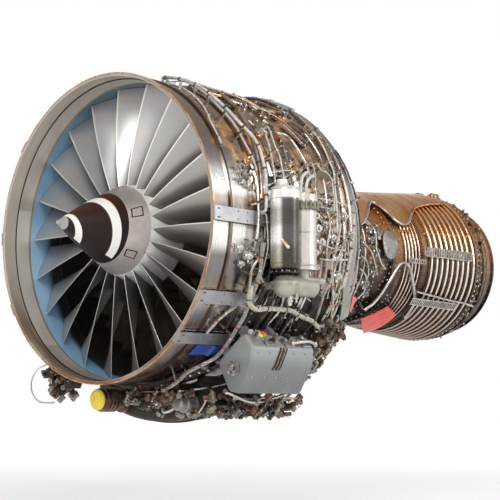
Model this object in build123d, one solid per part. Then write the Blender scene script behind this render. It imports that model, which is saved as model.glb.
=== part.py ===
from build123d import *
import math
import os

# High-bypass turbofan engine on its own, without its nacelle.
# Millimetres. The engine axis is +Y pointing aft, +Z is up and the origin is the centre of
# the fan case front flange. A clock angle is measured from +Z towards +X, so it grows
# clockwise for someone who looks into the intake.

# Fits between pieces that belong to one body
SEAT = 0.3
SHAFT_FIT = 0.05
GENTLE_TURN = 24.0
WRAP_STEP = 12.0

# Fan
FAN_BLADES = 22
FAN_TIP_R = 806.5
FAN_TIP_GAP = 3.5
FAN_ROOT_LE = 152.0
FAN_TIP_LE = 212.0
FAN_ROOT_CHORD = 190.0
FAN_TIP_CHORD = 236.0
FAN_ROOT_STAGGER = 14.0
FAN_TIP_STAGGER = 61.0
FAN_ROOT_THICK = 17.0
FAN_TIP_THICK = 5.0
FAN_CAMBER = 0.055
BLADE_FOOT_TOP_R = 235.0
BLADE_FOOT_T = 9.7
BLADE_FOOT_W = 52.0
BLADE_NECK_W = 30.0
DOVETAIL_W = 50.0
DOVETAIL_TOP_R = 204.0
DOVETAIL_BOTTOM_R = 188.0
DISC_FRONT_Y = 152.0
DISC_REAR_Y = 342.0
DISC_RIM_IN_R = 160.0
DISC_WEB_T = 56.0
DISC_HUB_R = 104.0
DISC_BORE_R = 60.0
FILLER_T = 7.0
FILLER_GAP = 1.2

# Spinner and annulus fairing
SPINNER_TIP_Y = -304.0
SPINNER_CAP_Y = -250.0
SPINNER_BASE_Y = 36.0
SPINNER_BASE_R = 188.0
SPINNER_BULGE = 9.0
SPINNER_T = 6.0
FAIRING_REAR_Y = 144.0
FAIRING_REAR_R = 242.0
FAIRING_T = 8.0
HUB_REAR_Y = 345.0
HUB_REAR_R = 300.0

# Fan case, liners and straps
CASE_T = 6.0
LINER_T = 8.0
FLANGE_H = 14.0
FLANGE_T = 12.0
FAN_CASE_REAR_Y = 700.0
RIB_STATIONS = (140.0, 335.0, 500.0)
RIB_W = 16.0
RIB_H = 9.0
FRONT_LINER_Y = 78.0
RUB_STRIP_Y = 182.0
REAR_LINER_Y = 402.0
INLET_BOLTS = 48
INLET_BOLT_R = 3.5
STRAP_W = 72.0
STRAP_T = 8.0
STRAP_LENGTH = 410.0
STRAP_CLOCKS = (89.7, 118.8, 136.0, -52.0, -89.7, -118.8)
STRAP_BOLT_R = 5.0

# Fan frame: outer ring, struts, inner hub and guide vanes
FRAME_REAR_Y = 1209.0
FRAME_NECK_R = 832.0
FRAME_NECK_Y = 840.0
FRAME_BELLY_R = 858.0
FRAME_BELLY_Y0 = 900.0
FRAME_BELLY_Y1 = 1130.0
FRAME_BELLY_T = 20.0
FRAME_BORE_STEP = 2.0
HUB_WALL_T = 12.0
FRAME_REAR_R = 826.0
VANE_COUNT = 48
VANE_LE = 622.0
VANE_CHORD = 120.0
VANE_STAGGER = 22.0
VANE_T = 7.0
DUCT_INNER_R = 470.0
DUCT_REAR_R = 452.0
STRUT_COUNT = 10
STRUT_LE = 930.0
STRUT_CHORD = 190.0
STRUT_T = 30.0
CORE_STRUT_LE = 925.0
CORE_STRUT_CHORD = 90.0
CORE_STRUT_T = 14.0
SPLITTER_Y = 415.0
SPLITTER_R = 429.0
SPLITTER_T = 6.0
SPLITTER_REAR_Y = 745.0
BOOSTER_CASE_Y = 432.0
BOOSTER_EXIT_Y = 836.0
BOOSTER_EXIT_R = 393.0
BOOSTER_HUB_EXIT_R = 298.0
BOOSTER_INLET_R = 425.0
BOOSTER_HUB_INLET_R = 320.0
BOOSTER_CASE_T = 7.0
BOOSTER_STAGES = 4
BOOSTER_FIRST_Y = 560.0
BOOSTER_PITCH = 70.0
BOOSTER_ROW_W = 34.0
STATOR_ROW_W = 22.0
IGV_COUNT = 36
IGV_LE = 478.0
IGV_CHORD = 46.0
ROW_GAP = 5.0

# Curved core duct between the booster and the high-pressure compressor
SWAN_Y0 = 893.0
SWAN_Y1 = 1072.0
SWAN_OUT_R0 = 373.0
SWAN_OUT_R1 = 295.0
SWAN_IN_R0 = 278.0
SWAN_IN_R1 = 200.0
NECK_Y = 1158.0

# High-pressure compressor
HPC_INLET_Y = 1209.3
HPC_SPLIT_Y = 1450.0
HPC_EXIT_Y = 1715.0
HPC_INLET_R = 272.0
HPC_EXIT_R = 240.0
HPC_HUB_INLET_R = 168.0
HPC_HUB_EXIT_R = 214.0
HPC_STAGES = 10
HPC_FIRST_Y = 1216.0
HPC_PITCH = 49.0
HPC_ROW_W = 24.0
HPC_STATOR_W = 14.0
HPC_DRUM_T = 12.0
HPC_CASE_T = 12.0
CORE_FLANGE_H = 16.0
CORE_FLANGE_T = 10.0
HPC_FRONT_FLANGE_R = 322.0
HPC_SPLIT_FLANGE_R = 300.0
HPC_REAR_FLANGE_R = 318.0
BLEED_RING_R = 352.0
BLEED_RING_Y = 1585.0
BLEED_RING_W = 96.0

# Combustion section
COMB_CASE_R = 392.0
COMB_CASE_T = 8.0
COMB_REAR_Y = 2080.0
LINER_OUT_R = 345.0
LINER_IN_R = 205.0
LINER_FRONT_Y = 1812.0
LINER_REAR_Y = 2066.0
LINER_WALL = 4.0
LINER_DOME = 34.0
NOZZLE_COUNT = 20
NOZZLE_Y = 1785.0
NOZZLE_R = 268.0
NOZZLE_STEM_R = 8.0
NOZZLE_TIP_R = 13.0
NOZZLE_PAD_H = 14.0
NOZZLE_PAD_W = 44.0
NOZZLE_PAD_L = 30.0
MANIFOLD_TUBE_R = 7.0
INNER_CASE_R = 152.0
INNER_CASE_T = 8.0
DIFFUSER_VANES = 24

# Turbines
HPT_REAR_Y = 2350.0
HPT_CASE_R = 404.0
LPT_REAR_Y = 2905.0
LPT_FRONT_R = 428.0
LPT_REAR_R = 482.0
TURB_CASE_T = 9.0
HPT_TIP_R = 346.0
HPT_HUB_R = 268.0
HPT_STAGE_Y = (2135.0, 2255.0)
HPT_ROW_W = 44.0
LPT_STAGES = 5
LPT_FIRST_Y = 2420.0
LPT_PITCH = 96.0
LPT_ROW_W = 38.0
LPT_STATOR_W = 30.0
LPT_HUB_R = 318.0
LPT_DRUM_T = 10.0
LAST_ROW_BLADES = 60

# Exhaust case
EXH_REAR_Y = 3200.0
EXH_FRONT_R = 486.0
EXH_REAR_R = 430.0
EXH_CASE_T = 7.0
EXH_RIM_R = 442.0
EXH_HUB_R = 248.0
EXH_HUB_Y0 = 2950.0
EXH_HUB_Y1 = 3170.0
EXH_STRUTS = 12
EXH_STRUT_LE = 2985.0
EXH_STRUT_CHORD = 125.0
EXH_STRUT_T = 16.0
EXH_BOLTS = 36
EXH_BOLT_R = 3.5

# Shafts and bearings
LP_SHAFT_R = 48.0
LP_SHAFT_BORE_R = 36.0
LP_SHAFT_REAR_Y = 3040.0
HP_SHAFT_R = 80.0
HP_SHAFT_BORE_R = 62.0
HP_STUB_STEP = 4.0
RACE_T = 11.0
BALL_R = 9.0
BALL_COUNT = 14
BEARING_W = 26.0
BALL_GAP = 0.4
LP_FRONT_BEARING_Y = 470.0
LP_MID_BEARING_Y = 640.0
LP_REAR_BEARING_Y = 3000.0
HP_FRONT_BEARING_Y = 1130.0
HP_REAR_BEARING_Y = 2035.0

# Turbine case cooling tubes
COOL_TUBE_R = 9.0
COOL_STAND_OFF = 15.0
COOL_FIRST_Y = 2441.0
COOL_PITCH = 52.3
COOL_COUNT = 8
COOL_LAST_Y = 2866.0
FINE_TUBE_R = 5.5
FINE_STAND_OFF = 10.0
FINE_FIRST_Y = 2195.0
FINE_PITCH = 33.0
FINE_COUNT = 5
COOL_LEG_HALF = 4.0
COOL_LEG_ARC = 1.2
COOL_LEGS = 8

# Heat shield over the core
SHIELD_Y0 = 1740.0
SHIELD_Y1 = 2800.0
SHIELD_T = 4.0
SHIELD_LIFT = 28.0
SHIELD_FOOT_Y = 1850.0
SHIELD_FOOT_W = 14.0
SHIELD_FOOT_ARC = 3.0
SHIELD_FOOT_CLOCKS = (-30.0, 0.0, 30.0)

# Accessories round the fan case
GEARBOX_CLOCK_0 = 156.0
GEARBOX_CLOCK_1 = 204.0
GEARBOX_IN_R = 862.0
GEARBOX_OUT_R = 1034.0
GEARBOX_Y0 = 452.0
GEARBOX_Y1 = 640.0
GEARBOX_EDGE = 14.0
STARTER_CLOCK = 198.0
STARTER_AXIS_R = 960.0
STARTER_R = 68.0
STARTER_FRONT_Y = 264.0
STARTER_FINS = 4
CAP_R = 59.0
CAP_T = 17.0
FUEL_PUMP_CLOCK = 165.0
FUEL_PUMP_AXIS_R = 968.0
FUEL_PUMP_R = 50.0
FUEL_PUMP_Y0 = 330.0
HYD_PUMP_CLOCK = 158.0
HYD_PUMP_AXIS_R = 956.0
HYD_PUMP_R = 56.0
HYD_PUMP_Y1 = 800.0
OIL_PUMP_CLOCK = 178.0
OIL_PUMP_R = 62.0
OIL_PUMP_Y1 = 790.0
GENERATOR_CLOCK = 196.0
GENERATOR_R = 78.0
GENERATOR_Y1 = 880.0
PAD_CLOCK = 181.0
PAD_R = 70.0
PAD_PCD = 112.0
PAD_BOLTS = 8
PAD_BOLT_R = 4.0
PAD_H = 10.0
TANK_Y0 = 330.0
TANK_Y1 = 820.0
TANK_CORNERS = ((549, -722), (736, -566), (806, -650), (792, -742), (704, -888), (628, -872))
TANK_EDGE = 34.0
TANK_FOOT_Y = (430.0, 620.0)
TANK_FOOT_CLOCKS = (130.8, 141.0)
TANK_FOOT_W = 44.0
TANK_FOOT_TOP_R = 940.0
FILLER_Y = 400.0
FILLER_NECK_R = 20.0
FILLER_NECK_H = 22.0
FILLER_CAP_R = 26.0
FILLER_CAP_H = 14.0
CAP_PIN_R = 3.0
CAP_PIN_OUT = 7.0
CAP_PIN_UP = 27.0
CAP_TAB_W = 15.0
CAP_EAR_T = 6.0
CAP_EAR_FOOT = 12.0
CAP_EAR_TOP = 4.8
COOLER_R = 73.0
COOLER_X = 912.0
COOLER_Z0 = -238.0
COOLER_Z1 = 104.0
COOLER_HEAD_R = 82.0
COOLER_BASE_T = 10.0
CANISTER_R = 76.0
CANISTER_X = 930.0
CANISTER_Y = 432.0
CANISTER_Z0 = -250.0
CANISTER_Z1 = 172.0
UPRIGHT_GAP = 4.0
BOWL_R = 67.0
BOWL_X = 896.0
BOWL_Y = 470.0
BOWL_Z = -330.0
BOWL_BAND = 6.0
FILTER_BODY_R = 54.0
BOX_CLOCK = -72.0
BOX_W = 400.0
BOX_L = 300.0
BOX_H = 96.0
BOX_Y = 515.0
BOX_LIFT = 16.0
FIN_COUNT = 9
BOX_PLUGS = 4
SADDLE_W = 22.0
SADDLE_T = 3.0
CASE_PIPE_BEND = 60.0
CORE_DUCT_R = 10.0
CORE_LINE_R = 6.0
CORE_LINE_GAP = 0.6

# Mounts to the pylon
FRONT_MOUNT_Y = 1262.0
FRONT_MOUNT_TOP = 470.0
FRONT_MOUNT_W = 170.0
FRONT_MOUNT_L = 84.0
FRONT_MOUNT_ARC = 48.0
FRONT_MOUNT_DX = 120.0
FRONT_MOUNT_DY = 56.0
FRONT_MOUNT_BOLT_R = 9.0
REAR_LUG_Y = 2957.0
REAR_LUG_CLOCKS = (-14.0, 0.0, 14.0)
REAR_LUG_AXIS_R = 508.0
REAR_LUG_EDGE = 18.0
REAR_LUG_W = 44.0
REAR_LUG_BORE_R = 11.0
REAR_LUG_T = 16.0
REAR_LUG_GAP = 26.0

os.makedirs("parts", exist_ok=True)

LINER_BORE_R = FAN_TIP_R + FAN_TIP_GAP
CASE_BORE_R = LINER_BORE_R + LINER_T
CASE_R = CASE_BORE_R + CASE_T
FLANGE_R = CASE_R + FLANGE_H
COOLER_Y = CANISTER_Y + CANISTER_R + COOLER_HEAD_R + UPRIGHT_GAP


def mix(a, b, share):
    return a + (b - a) * share


def turned(*points):
    """Solid of revolution about the engine axis from (radius, station) corners."""
    return revolve(make_face(Polyline(*points, close=True)), Axis.Y)


def hoop(r_in, r_out, y0, y1):
    """Plain ring between two radii and two stations."""
    return turned((r_in, y0), (r_out, y0), (r_out, y1), (r_in, y1))


def turned_up(x, y, profile):
    """Solid of revolution about an upright axis from a flat face of (radius, height)."""
    return Pos(x, y, 0) * revolve(Plane.XZ * profile, Axis.Z)


def around(shape, count, start=0.0):
    """Copies of a shape at even clock angles."""
    return [Rot(0, start + i * 360.0 / count, 0) * shape for i in range(count)]


def at_clock(radius, clock, y):
    """Point at a radius, clock angle and station."""
    a = math.radians(clock)
    return (radius * math.sin(a), y, radius * math.cos(a))


def drum_along(r, y0, y1, x=0.0, z=0.0):
    """Cylinder whose axis runs along the engine."""
    upright = Cylinder(r, y1 - y0, align=(Align.CENTER, Align.CENTER, Align.MIN))
    return Pos(x, y0, z) * Rot(-90, 0, 0) * upright


def drum_up(r, z0, z1, x=0.0, y=0.0):
    """Upright cylinder."""
    return Pos(x, y, z0) * Cylinder(r, z1 - z0, align=(Align.CENTER, Align.CENTER, Align.MIN))


def save(name, *shapes):
    """Write one node from loose shapes, each of which stays a solid of its own."""
    solids = []
    for shape in shapes:
        for piece in (shape if isinstance(shape, (list, tuple)) else [shape]):
            solids.extend(piece.solids())
    export_step(Compound(solids) if len(solids) > 1 else solids[0], f"parts/{name}.step")


def pipe(points, radius, bend):
    """Round tube as straight runs joined by tangent arcs, gentle turns as wide as they fit."""
    corners = [Vector(*p) for p in points]
    radii = []
    for a, b, c in zip(corners, corners[1:], corners[2:]):
        turn = (b - a).get_angle(c - b)
        widest = 0.45 * min((b - a).length, (c - b).length) / math.tan(math.radians(turn / 2))
        radii.append(min(widest, bend) if turn > GENTLE_TURN else widest)
    path = FilletPolyline(*corners, radius=radii) if radii else Polyline(*corners)
    start = Plane(origin=path @ 0, z_dir=path % 0)
    return sweep(start * Circle(radius), path=path)


def wrapped(radius, *stops):
    """Route round the engine through (clock, station) stops that never dips under its radius."""
    turns = [stops[0]]
    for (c0, y0), (c1, y1) in zip(stops, stops[1:]):
        steps = max(1, math.ceil(abs(c1 - c0) / WRAP_STEP))
        turns += [(mix(c0, c1, i / steps), mix(y0, y1, i / steps)) for i in range(1, steps + 1)]
    out = radius / math.cos(math.radians(WRAP_STEP / 2))
    return [at_clock(out, clock, y) for clock, y in turns]


def aerofoil(radius, le, chord, stagger, thick, camber, grow=0.0, reach=0.0):
    """Thin cambered section on the plane that stands at a radius above the axis."""
    s = math.radians(stagger)
    along = (math.sin(s), math.cos(s))
    out = (math.cos(s), -math.sin(s))
    mid_y = le + chord * math.cos(s) / 2

    def at(share, side):
        lift = 4 * camber * chord * share * (1 - share)
        fullness = 4 * share * (1 - share)
        half = side * ((0.12 + 0.88 * fullness ** 0.7) * thick / 2 + grow)
        u = (share - 0.5) * chord
        return (u * along[0] + (lift + half) * out[0], mid_y + u * along[1] + (lift + half) * out[1])

    def end(share, side, direction):
        t, y = at(share, side)
        return (t + direction * reach * along[0], y + direction * reach * along[1])

    shares = (0.0, 0.25, 0.5, 0.75, 1.0)
    back = Spline(*[at(v, 1) for v in shares])
    belly = Spline(*[at(v, -1) for v in reversed(shares)])
    if reach:
        rear = Polyline(back @ 1, end(1.0, 1, 1), end(1.0, -1, 1), belly @ 0)
        front = Polyline(belly @ 1, end(0.0, -1, -1), end(0.0, 1, -1), back @ 0)
    else:
        rear = Line(back @ 1, belly @ 0)
        front = Line(belly @ 1, back @ 0)
    face = make_face([back, rear, belly, front])
    return Plane(origin=(0, 0, radius), x_dir=(1, 0, 0), z_dir=(0, 0, 1)) * face


def fan_section(share, grow=0.0, reach=0.0):
    """Fan blade section at a share of the height from foot to tip."""
    radius = mix(BLADE_FOOT_TOP_R - 4, FAN_TIP_R + 9, share)
    return aerofoil(
        radius,
        mix(FAN_ROOT_LE, FAN_TIP_LE, share ** 1.8),
        mix(FAN_ROOT_CHORD, FAN_TIP_CHORD, share),
        mix(FAN_ROOT_STAGGER, FAN_TIP_STAGGER, share ** 0.85),
        mix(FAN_ROOT_THICK, FAN_TIP_THICK, share ** 0.8),
        FAN_CAMBER * (1.25 - share),
        grow,
        reach,
    )


def dovetail(extra=0.0):
    """Blade foot and dovetail outline, or the disc slot when grown by a clearance."""
    top = BLADE_FOOT_TOP_R - BLADE_FOOT_T
    neck = BLADE_NECK_W / 2 + extra
    wide = DOVETAIL_W / 2 + extra
    side = [(neck, top + 5 * extra), (neck, DOVETAIL_TOP_R + 8 + extra), (wide, DOVETAIL_TOP_R - 4),
            (wide, DOVETAIL_BOTTOM_R - extra)]
    if not extra:
        foot = BLADE_FOOT_W / 2
        side = [(foot, BLADE_FOOT_TOP_R), (foot, top)] + side
    outline = side + [(-x, z) for x, z in reversed(side)]
    face = Plane(origin=(0, DISC_REAR_Y, 0), x_dir=(1, 0, 0), z_dir=(0, -1, 0)) * make_face(
        Polyline(*outline, close=True))
    return extrude(face, DISC_REAR_Y - DISC_FRONT_Y)


def make_fan_blades():
    shares = (0.0, 0.25, 0.5, 0.75, 1.0)
    vane = loft([fan_section(s) for s in shares])
    vane = vane & drum_along(FAN_TIP_R, 0, BOOSTER_EXIT_Y)
    blade = vane + dovetail()
    return around(blade, FAN_BLADES)


def make_annulus_fillers():
    """Plates between the blades that carry the hub line, shaped to the blade flanks."""
    rise = (HUB_REAR_R - FAIRING_REAR_R) / (HUB_REAR_Y - FAIRING_REAR_Y)
    y0 = FAIRING_REAR_Y + SEAT
    y1 = HUB_REAR_Y - SEAT
    r0 = FAIRING_REAR_R + rise * SEAT
    r1 = HUB_REAR_R - rise * SEAT
    profile = make_face(Polyline((r0, y0), (r1, y1), (r1 - FILLER_T, y1), (r0 - FILLER_T, y0), close=True))
    pitch = 360.0 / FAN_BLADES
    sector = Rot(0, -90 - 0.4 * pitch, 0) * revolve(profile, Axis.Y, revolution_arc=1.8 * pitch)
    shadow = loft([fan_section(s, FILLER_GAP, 30.0) for s in (0.0, 0.12, 0.25)])
    pieces = (sector - shadow - Rot(0, pitch, 0) * shadow).solids()
    middle = Vector(*at_clock(HUB_REAR_R, pitch / 2, (y0 + y1) / 2))
    plate = min(pieces, key=lambda s: (s.center() - middle).length)
    return around(plate, FAN_BLADES)


def make_fan_disc():
    top = BLADE_FOOT_TOP_R - BLADE_FOOT_T - SEAT
    mid = (DISC_FRONT_Y + DISC_REAR_Y) / 2
    web = DISC_WEB_T / 2
    disc = turned(
        (DISC_BORE_R, mid - 70), (DISC_HUB_R, mid - 70), (DISC_HUB_R + 24, mid - web),
        (DISC_RIM_IN_R - 14, mid - web),
        (DISC_RIM_IN_R, DISC_FRONT_Y), (top, DISC_FRONT_Y), (top, DISC_REAR_Y),
        (DISC_RIM_IN_R, DISC_REAR_Y),
        (DISC_RIM_IN_R - 14, mid + web), (DISC_HUB_R + 24, mid + web), (DISC_HUB_R, mid + 70),
        (DISC_BORE_R, mid + 70),
    )
    return disc - around(dovetail(SEAT), FAN_BLADES)


def spinner_radius(y):
    """Slightly bulged cone from the tip to the base."""
    share = (y - SPINNER_TIP_Y) / (SPINNER_BASE_Y - SPINNER_TIP_Y)
    return SPINNER_BASE_R * share + 4 * SPINNER_BULGE * share * (1 - share)


def make_spinner():
    stations = [mix(SPINNER_CAP_Y + SEAT, SPINNER_BASE_Y, i / 4) for i in range(5)]
    outer = [(spinner_radius(y), y) for y in stations]
    inner = [(r - SPINNER_T, y) for r, y in reversed(outer)]
    skin = revolve(make_face([Spline(*outer), Line(outer[-1], inner[0]), Spline(*inner),
                              Line(inner[-1], outer[0])]),
                   Axis.Y)
    nose_r = spinner_radius(SPINNER_CAP_Y)
    half = mix(SPINNER_TIP_Y, SPINNER_CAP_Y, 0.5)
    nose = revolve(make_face([
        Spline((0, SPINNER_TIP_Y), (spinner_radius(half), half), (nose_r, SPINNER_CAP_Y),
               tangents=((1, 0.25), (0.55, 1))),
        Line((nose_r, SPINNER_CAP_Y), (0, SPINNER_CAP_Y)),
        Line((0, SPINNER_CAP_Y), (0, SPINNER_TIP_Y))]), Axis.Y)
    return skin, nose


def make_annulus_fairing():
    y0 = SPINNER_BASE_Y + SEAT
    foot = DISC_FRONT_Y - SEAT
    in_r = FAIRING_REAR_R - FAIRING_T
    return turned(
        (SPINNER_BASE_R, y0), (FAIRING_REAR_R, FAIRING_REAR_Y), (in_r, FAIRING_REAR_Y),
        (in_r - 22, foot - 13),
        (in_r - 26, foot), (DISC_RIM_IN_R + 4, foot), (DISC_RIM_IN_R + 4, foot - 10),
        (in_r - 34, foot - 12),
        (SPINNER_BASE_R - FAIRING_T, y0 + 4), (SPINNER_BASE_R - FAIRING_T, y0),
    )


def bearing(shaft_r, y, slack=SHAFT_FIT):
    """Inner race with its balls, and the outer race, of one bearing on a shaft."""
    inner_r = shaft_r + slack
    ball_track = inner_r + RACE_T + BALL_R / 2
    outer_r = ball_track + BALL_R / 2 + RACE_T
    inner = hoop(inner_r, inner_r + RACE_T, y, y + BEARING_W)
    outer = hoop(outer_r - RACE_T, outer_r, y, y + BEARING_W)
    mid = y + BEARING_W / 2
    ball = Pos(0, mid, ball_track) * Sphere(BALL_R)
    groove = Pos(0, mid, 0) * Rot(90, 0, 0) * Torus(ball_track, BALL_R + BALL_GAP)
    inner = inner - groove
    outer = outer - groove
    return [inner] + around(ball, BALL_COUNT), outer, outer_r


def tip_line(y, y0, y1, r0, r1):
    return mix(r0, r1, (y - y0) / (y1 - y0))


def booster_skin(y):
    """Outside of the booster case."""
    r = tip_line(y, BOOSTER_FIRST_Y, BOOSTER_EXIT_Y, BOOSTER_INLET_R, BOOSTER_EXIT_R)
    return r + BOOSTER_CASE_T


def make_booster():
    """Drum that turns with the fan, and the case with its stator rows."""
    def tip(y):
        return tip_line(y, BOOSTER_FIRST_Y, BOOSTER_EXIT_Y, BOOSTER_INLET_R, BOOSTER_EXIT_R)

    def hub(y):
        return tip_line(y, BOOSTER_FIRST_Y, BOOSTER_EXIT_Y, BOOSTER_HUB_INLET_R, BOOSTER_HUB_EXIT_R)

    rear = BOOSTER_EXIT_Y - 4
    outer = [(HUB_REAR_R, HUB_REAR_Y + SEAT), (BOOSTER_HUB_INLET_R, IGV_LE)]
    wall = [(BOOSTER_INLET_R, BOOSTER_CASE_Y), (BOOSTER_INLET_R, BOOSTER_FIRST_Y)]
    for i in range(BOOSTER_STAGES):
        y0 = BOOSTER_FIRST_Y + i * BOOSTER_PITCH
        y1 = y0 + BOOSTER_ROW_W
        outer += [(hub(y0), y0), (tip(y0) - ROW_GAP, y0), (tip(y1) - ROW_GAP, y1), (hub(y1), y1)]
        s0 = y1 + (BOOSTER_PITCH - BOOSTER_ROW_W - STATOR_ROW_W) / 2
        s1 = s0 + STATOR_ROW_W
        if i < BOOSTER_STAGES - 1:
            wall += [(tip(s0), s0), (hub(s0) + ROW_GAP, s0), (hub(s1) + ROW_GAP, s1), (tip(s1), s1)]
    web_y = DISC_REAR_Y + SEAT
    t = HPC_DRUM_T
    drum = turned(*outer, (hub(rear), rear), (hub(rear) - t, rear),
                  (BOOSTER_HUB_INLET_R - t, BOOSTER_FIRST_Y),
                  (BOOSTER_HUB_INLET_R - t, IGV_LE), (HUB_REAR_R - t, web_y + 34),
                  (DOVETAIL_TOP_R, web_y + t),
                  (DISC_RIM_IN_R + 6, web_y + t), (DISC_RIM_IN_R + 6, web_y), (DOVETAIL_TOP_R + 6, web_y),
                  (HUB_REAR_R - t, HUB_REAR_Y + SEAT + t))
    case = turned(*wall, (BOOSTER_EXIT_R, BOOSTER_EXIT_Y),
                  (BOOSTER_EXIT_R + BOOSTER_CASE_T, BOOSTER_EXIT_Y),
                  (BOOSTER_INLET_R + BOOSTER_CASE_T, BOOSTER_FIRST_Y),
                  (BOOSTER_INLET_R + BOOSTER_CASE_T, BOOSTER_CASE_Y))
    igv = loft([aerofoil(r, IGV_LE, IGV_CHORD, -12, 4.5, 0.04) for r in (BOOSTER_HUB_INLET_R - 8,
                                                                         BOOSTER_INLET_R + 20)])
    igv = igv & hoop(BOOSTER_HUB_INLET_R + ROW_GAP, BOOSTER_INLET_R - SEAT, IGV_LE - 40, IGV_LE + 90)
    return drum, case, around(igv, IGV_COUNT)


def make_fan_case():
    skin = hoop(CASE_BORE_R, CASE_R, 0, FAN_CASE_REAR_Y)
    front = hoop(CASE_BORE_R, FLANGE_R, 0, FLANGE_T)
    rear = hoop(CASE_BORE_R, FLANGE_R, FAN_CASE_REAR_Y - FLANGE_T, FAN_CASE_REAR_Y)
    case = skin + front + rear
    for y in RIB_STATIONS:
        case += hoop(CASE_BORE_R, CASE_R + RIB_H, y - RIB_W / 2, y + RIB_W / 2)
    hole = Pos(0, 0, CASE_R + FLANGE_H / 2) * Rot(90, 0, 0) * Cylinder(INLET_BOLT_R, 3 * FLANGE_T)
    return case - around(hole, INLET_BOLTS, 180.0 / INLET_BOLTS)


def make_liners():
    fit_r = CASE_BORE_R - SEAT
    front = turned((LINER_BORE_R + 2, FRONT_LINER_Y), (fit_r, FRONT_LINER_Y), (fit_r, RUB_STRIP_Y - SEAT),
                   (LINER_BORE_R, RUB_STRIP_Y - SEAT))
    strip = hoop(LINER_BORE_R, fit_r, RUB_STRIP_Y, REAR_LINER_Y - SEAT)
    rear = hoop(LINER_BORE_R, fit_r, REAR_LINER_Y, FAN_CASE_REAR_Y)
    return front, strip, rear


def make_straps():
    """Flat bolted plates that stand on the flange and the ribs, each with two end feet."""
    base = FLANGE_R + SEAT
    plate = Pos(0, STRAP_LENGTH / 2, base + STRAP_T / 2) * Box(STRAP_W, STRAP_LENGTH, STRAP_T)
    plate = fillet(plate.edges().filter_by(Axis.Z), 6.0)
    for y in (24, STRAP_LENGTH - 60, STRAP_LENGTH - 18):
        for x in (-STRAP_W / 2 + 14, STRAP_W / 2 - 14):
            plate -= Pos(x, y, base + STRAP_T / 2) * Cylinder(STRAP_BOLT_R, 2 * STRAP_T)
    return [Rot(0, c, 0) * plate for c in STRAP_CLOCKS]


def make_frame():
    """Outer ring, the hub with the curved core duct, and the struts that join them."""
    bore = LINER_BORE_R + FRAME_BORE_STEP
    y0 = FAN_CASE_REAR_Y + SEAT
    belly_in = FRAME_BELLY_R - FRAME_BELLY_T
    ring = turned(
        (bore, y0), (FLANGE_R, y0), (FLANGE_R, y0 + FLANGE_T), (CASE_R, y0 + FLANGE_T),
        (FRAME_NECK_R, FRAME_NECK_Y), (FRAME_BELLY_R, FRAME_BELLY_Y0), (FRAME_BELLY_R, FRAME_BELLY_Y1),
        (FRAME_REAR_R, FRAME_REAR_Y), (bore, FRAME_REAR_Y), (bore, FRAME_BELLY_Y1 + 30),
        (belly_in, FRAME_BELLY_Y1), (belly_in, FRAME_BELLY_Y0), (bore, FRAME_BELLY_Y0 - 40),
    )
    t = HUB_WALL_T
    front = SPLITTER_REAR_Y + SEAT
    web = front + t
    hub = turned(
        (DUCT_INNER_R, front), (DUCT_REAR_R, FRAME_REAR_Y), (DUCT_REAR_R - t, FRAME_REAR_Y),
        (DUCT_INNER_R - t, web), (booster_skin(web) + t, web),
        (booster_skin(BOOSTER_EXIT_Y) + t, BOOSTER_EXIT_Y),
        (SWAN_OUT_R0 + t, SWAN_Y0 + t / 2), (SWAN_OUT_R1 + t, SWAN_Y1 + t / 2), (HPC_INLET_R + t, NECK_Y),
        (HPC_INLET_R + t, FRAME_REAR_Y), (HPC_INLET_R, FRAME_REAR_Y), (HPC_INLET_R, NECK_Y),
        (SWAN_OUT_R1, SWAN_Y1), (SWAN_OUT_R0, SWAN_Y0), (BOOSTER_EXIT_R, BOOSTER_EXIT_Y + SEAT),
        (booster_skin(BOOSTER_EXIT_Y) + SEAT, BOOSTER_EXIT_Y + SEAT), (booster_skin(front) + SEAT, front),
    )
    span = (DUCT_REAR_R - 30, FRAME_BELLY_R)
    strut = loft([aerofoil(r, STRUT_LE, STRUT_CHORD, 0, STRUT_T, 0) for r in span])
    s0 = STRUT_LE - 50
    s1 = STRUT_LE + STRUT_CHORD + 20
    strut = strut & turned((duct_line(s0) + SEAT, s0), (belly_in - SEAT, FRAME_BELLY_Y0 + 5),
                           (belly_in - SEAT, FRAME_BELLY_Y1 - 5), (duct_line(s1) + SEAT, s1))
    inner = loft([aerofoil(r, CORE_STRUT_LE, CORE_STRUT_CHORD, 0, CORE_STRUT_T, 0) for r in (180.0, 420.0)])
    inner = inner & turned((SWAN_IN_R0 + SEAT, SWAN_Y0), (SWAN_OUT_R0 - SEAT, SWAN_Y0),
                           (SWAN_OUT_R1 - SEAT, SWAN_Y1), (SWAN_IN_R1 + SEAT, SWAN_Y1))
    return ring, hub, around(strut, STRUT_COUNT) + around(inner, STRUT_COUNT)


def case_room():
    """Space that the fan case and the frame fill, grown by the seat clearance."""
    room = hoop(0, CASE_R + SEAT, -SEAT, FAN_CASE_REAR_Y)
    room += hoop(0, FLANGE_R + SEAT, -SEAT, FLANGE_T + SEAT)
    for y in RIB_STATIONS:
        room += hoop(0, CASE_R + RIB_H + SEAT, y - RIB_W / 2 - SEAT, y + RIB_W / 2 + SEAT)
    pair = FLANGE_T + SEAT
    room += hoop(0, FLANGE_R + SEAT, FAN_CASE_REAR_Y - pair, FAN_CASE_REAR_Y + pair + SEAT)
    room += turned(
        (0, FAN_CASE_REAR_Y), (CASE_R + SEAT, FAN_CASE_REAR_Y), (FRAME_NECK_R + SEAT, FRAME_NECK_Y),
        (FRAME_BELLY_R + SEAT, FRAME_BELLY_Y0), (FRAME_BELLY_R + SEAT, FRAME_BELLY_Y1),
        (FRAME_REAR_R + SEAT, FRAME_REAR_Y), (0, FRAME_REAR_Y),
    )
    return room


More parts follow.
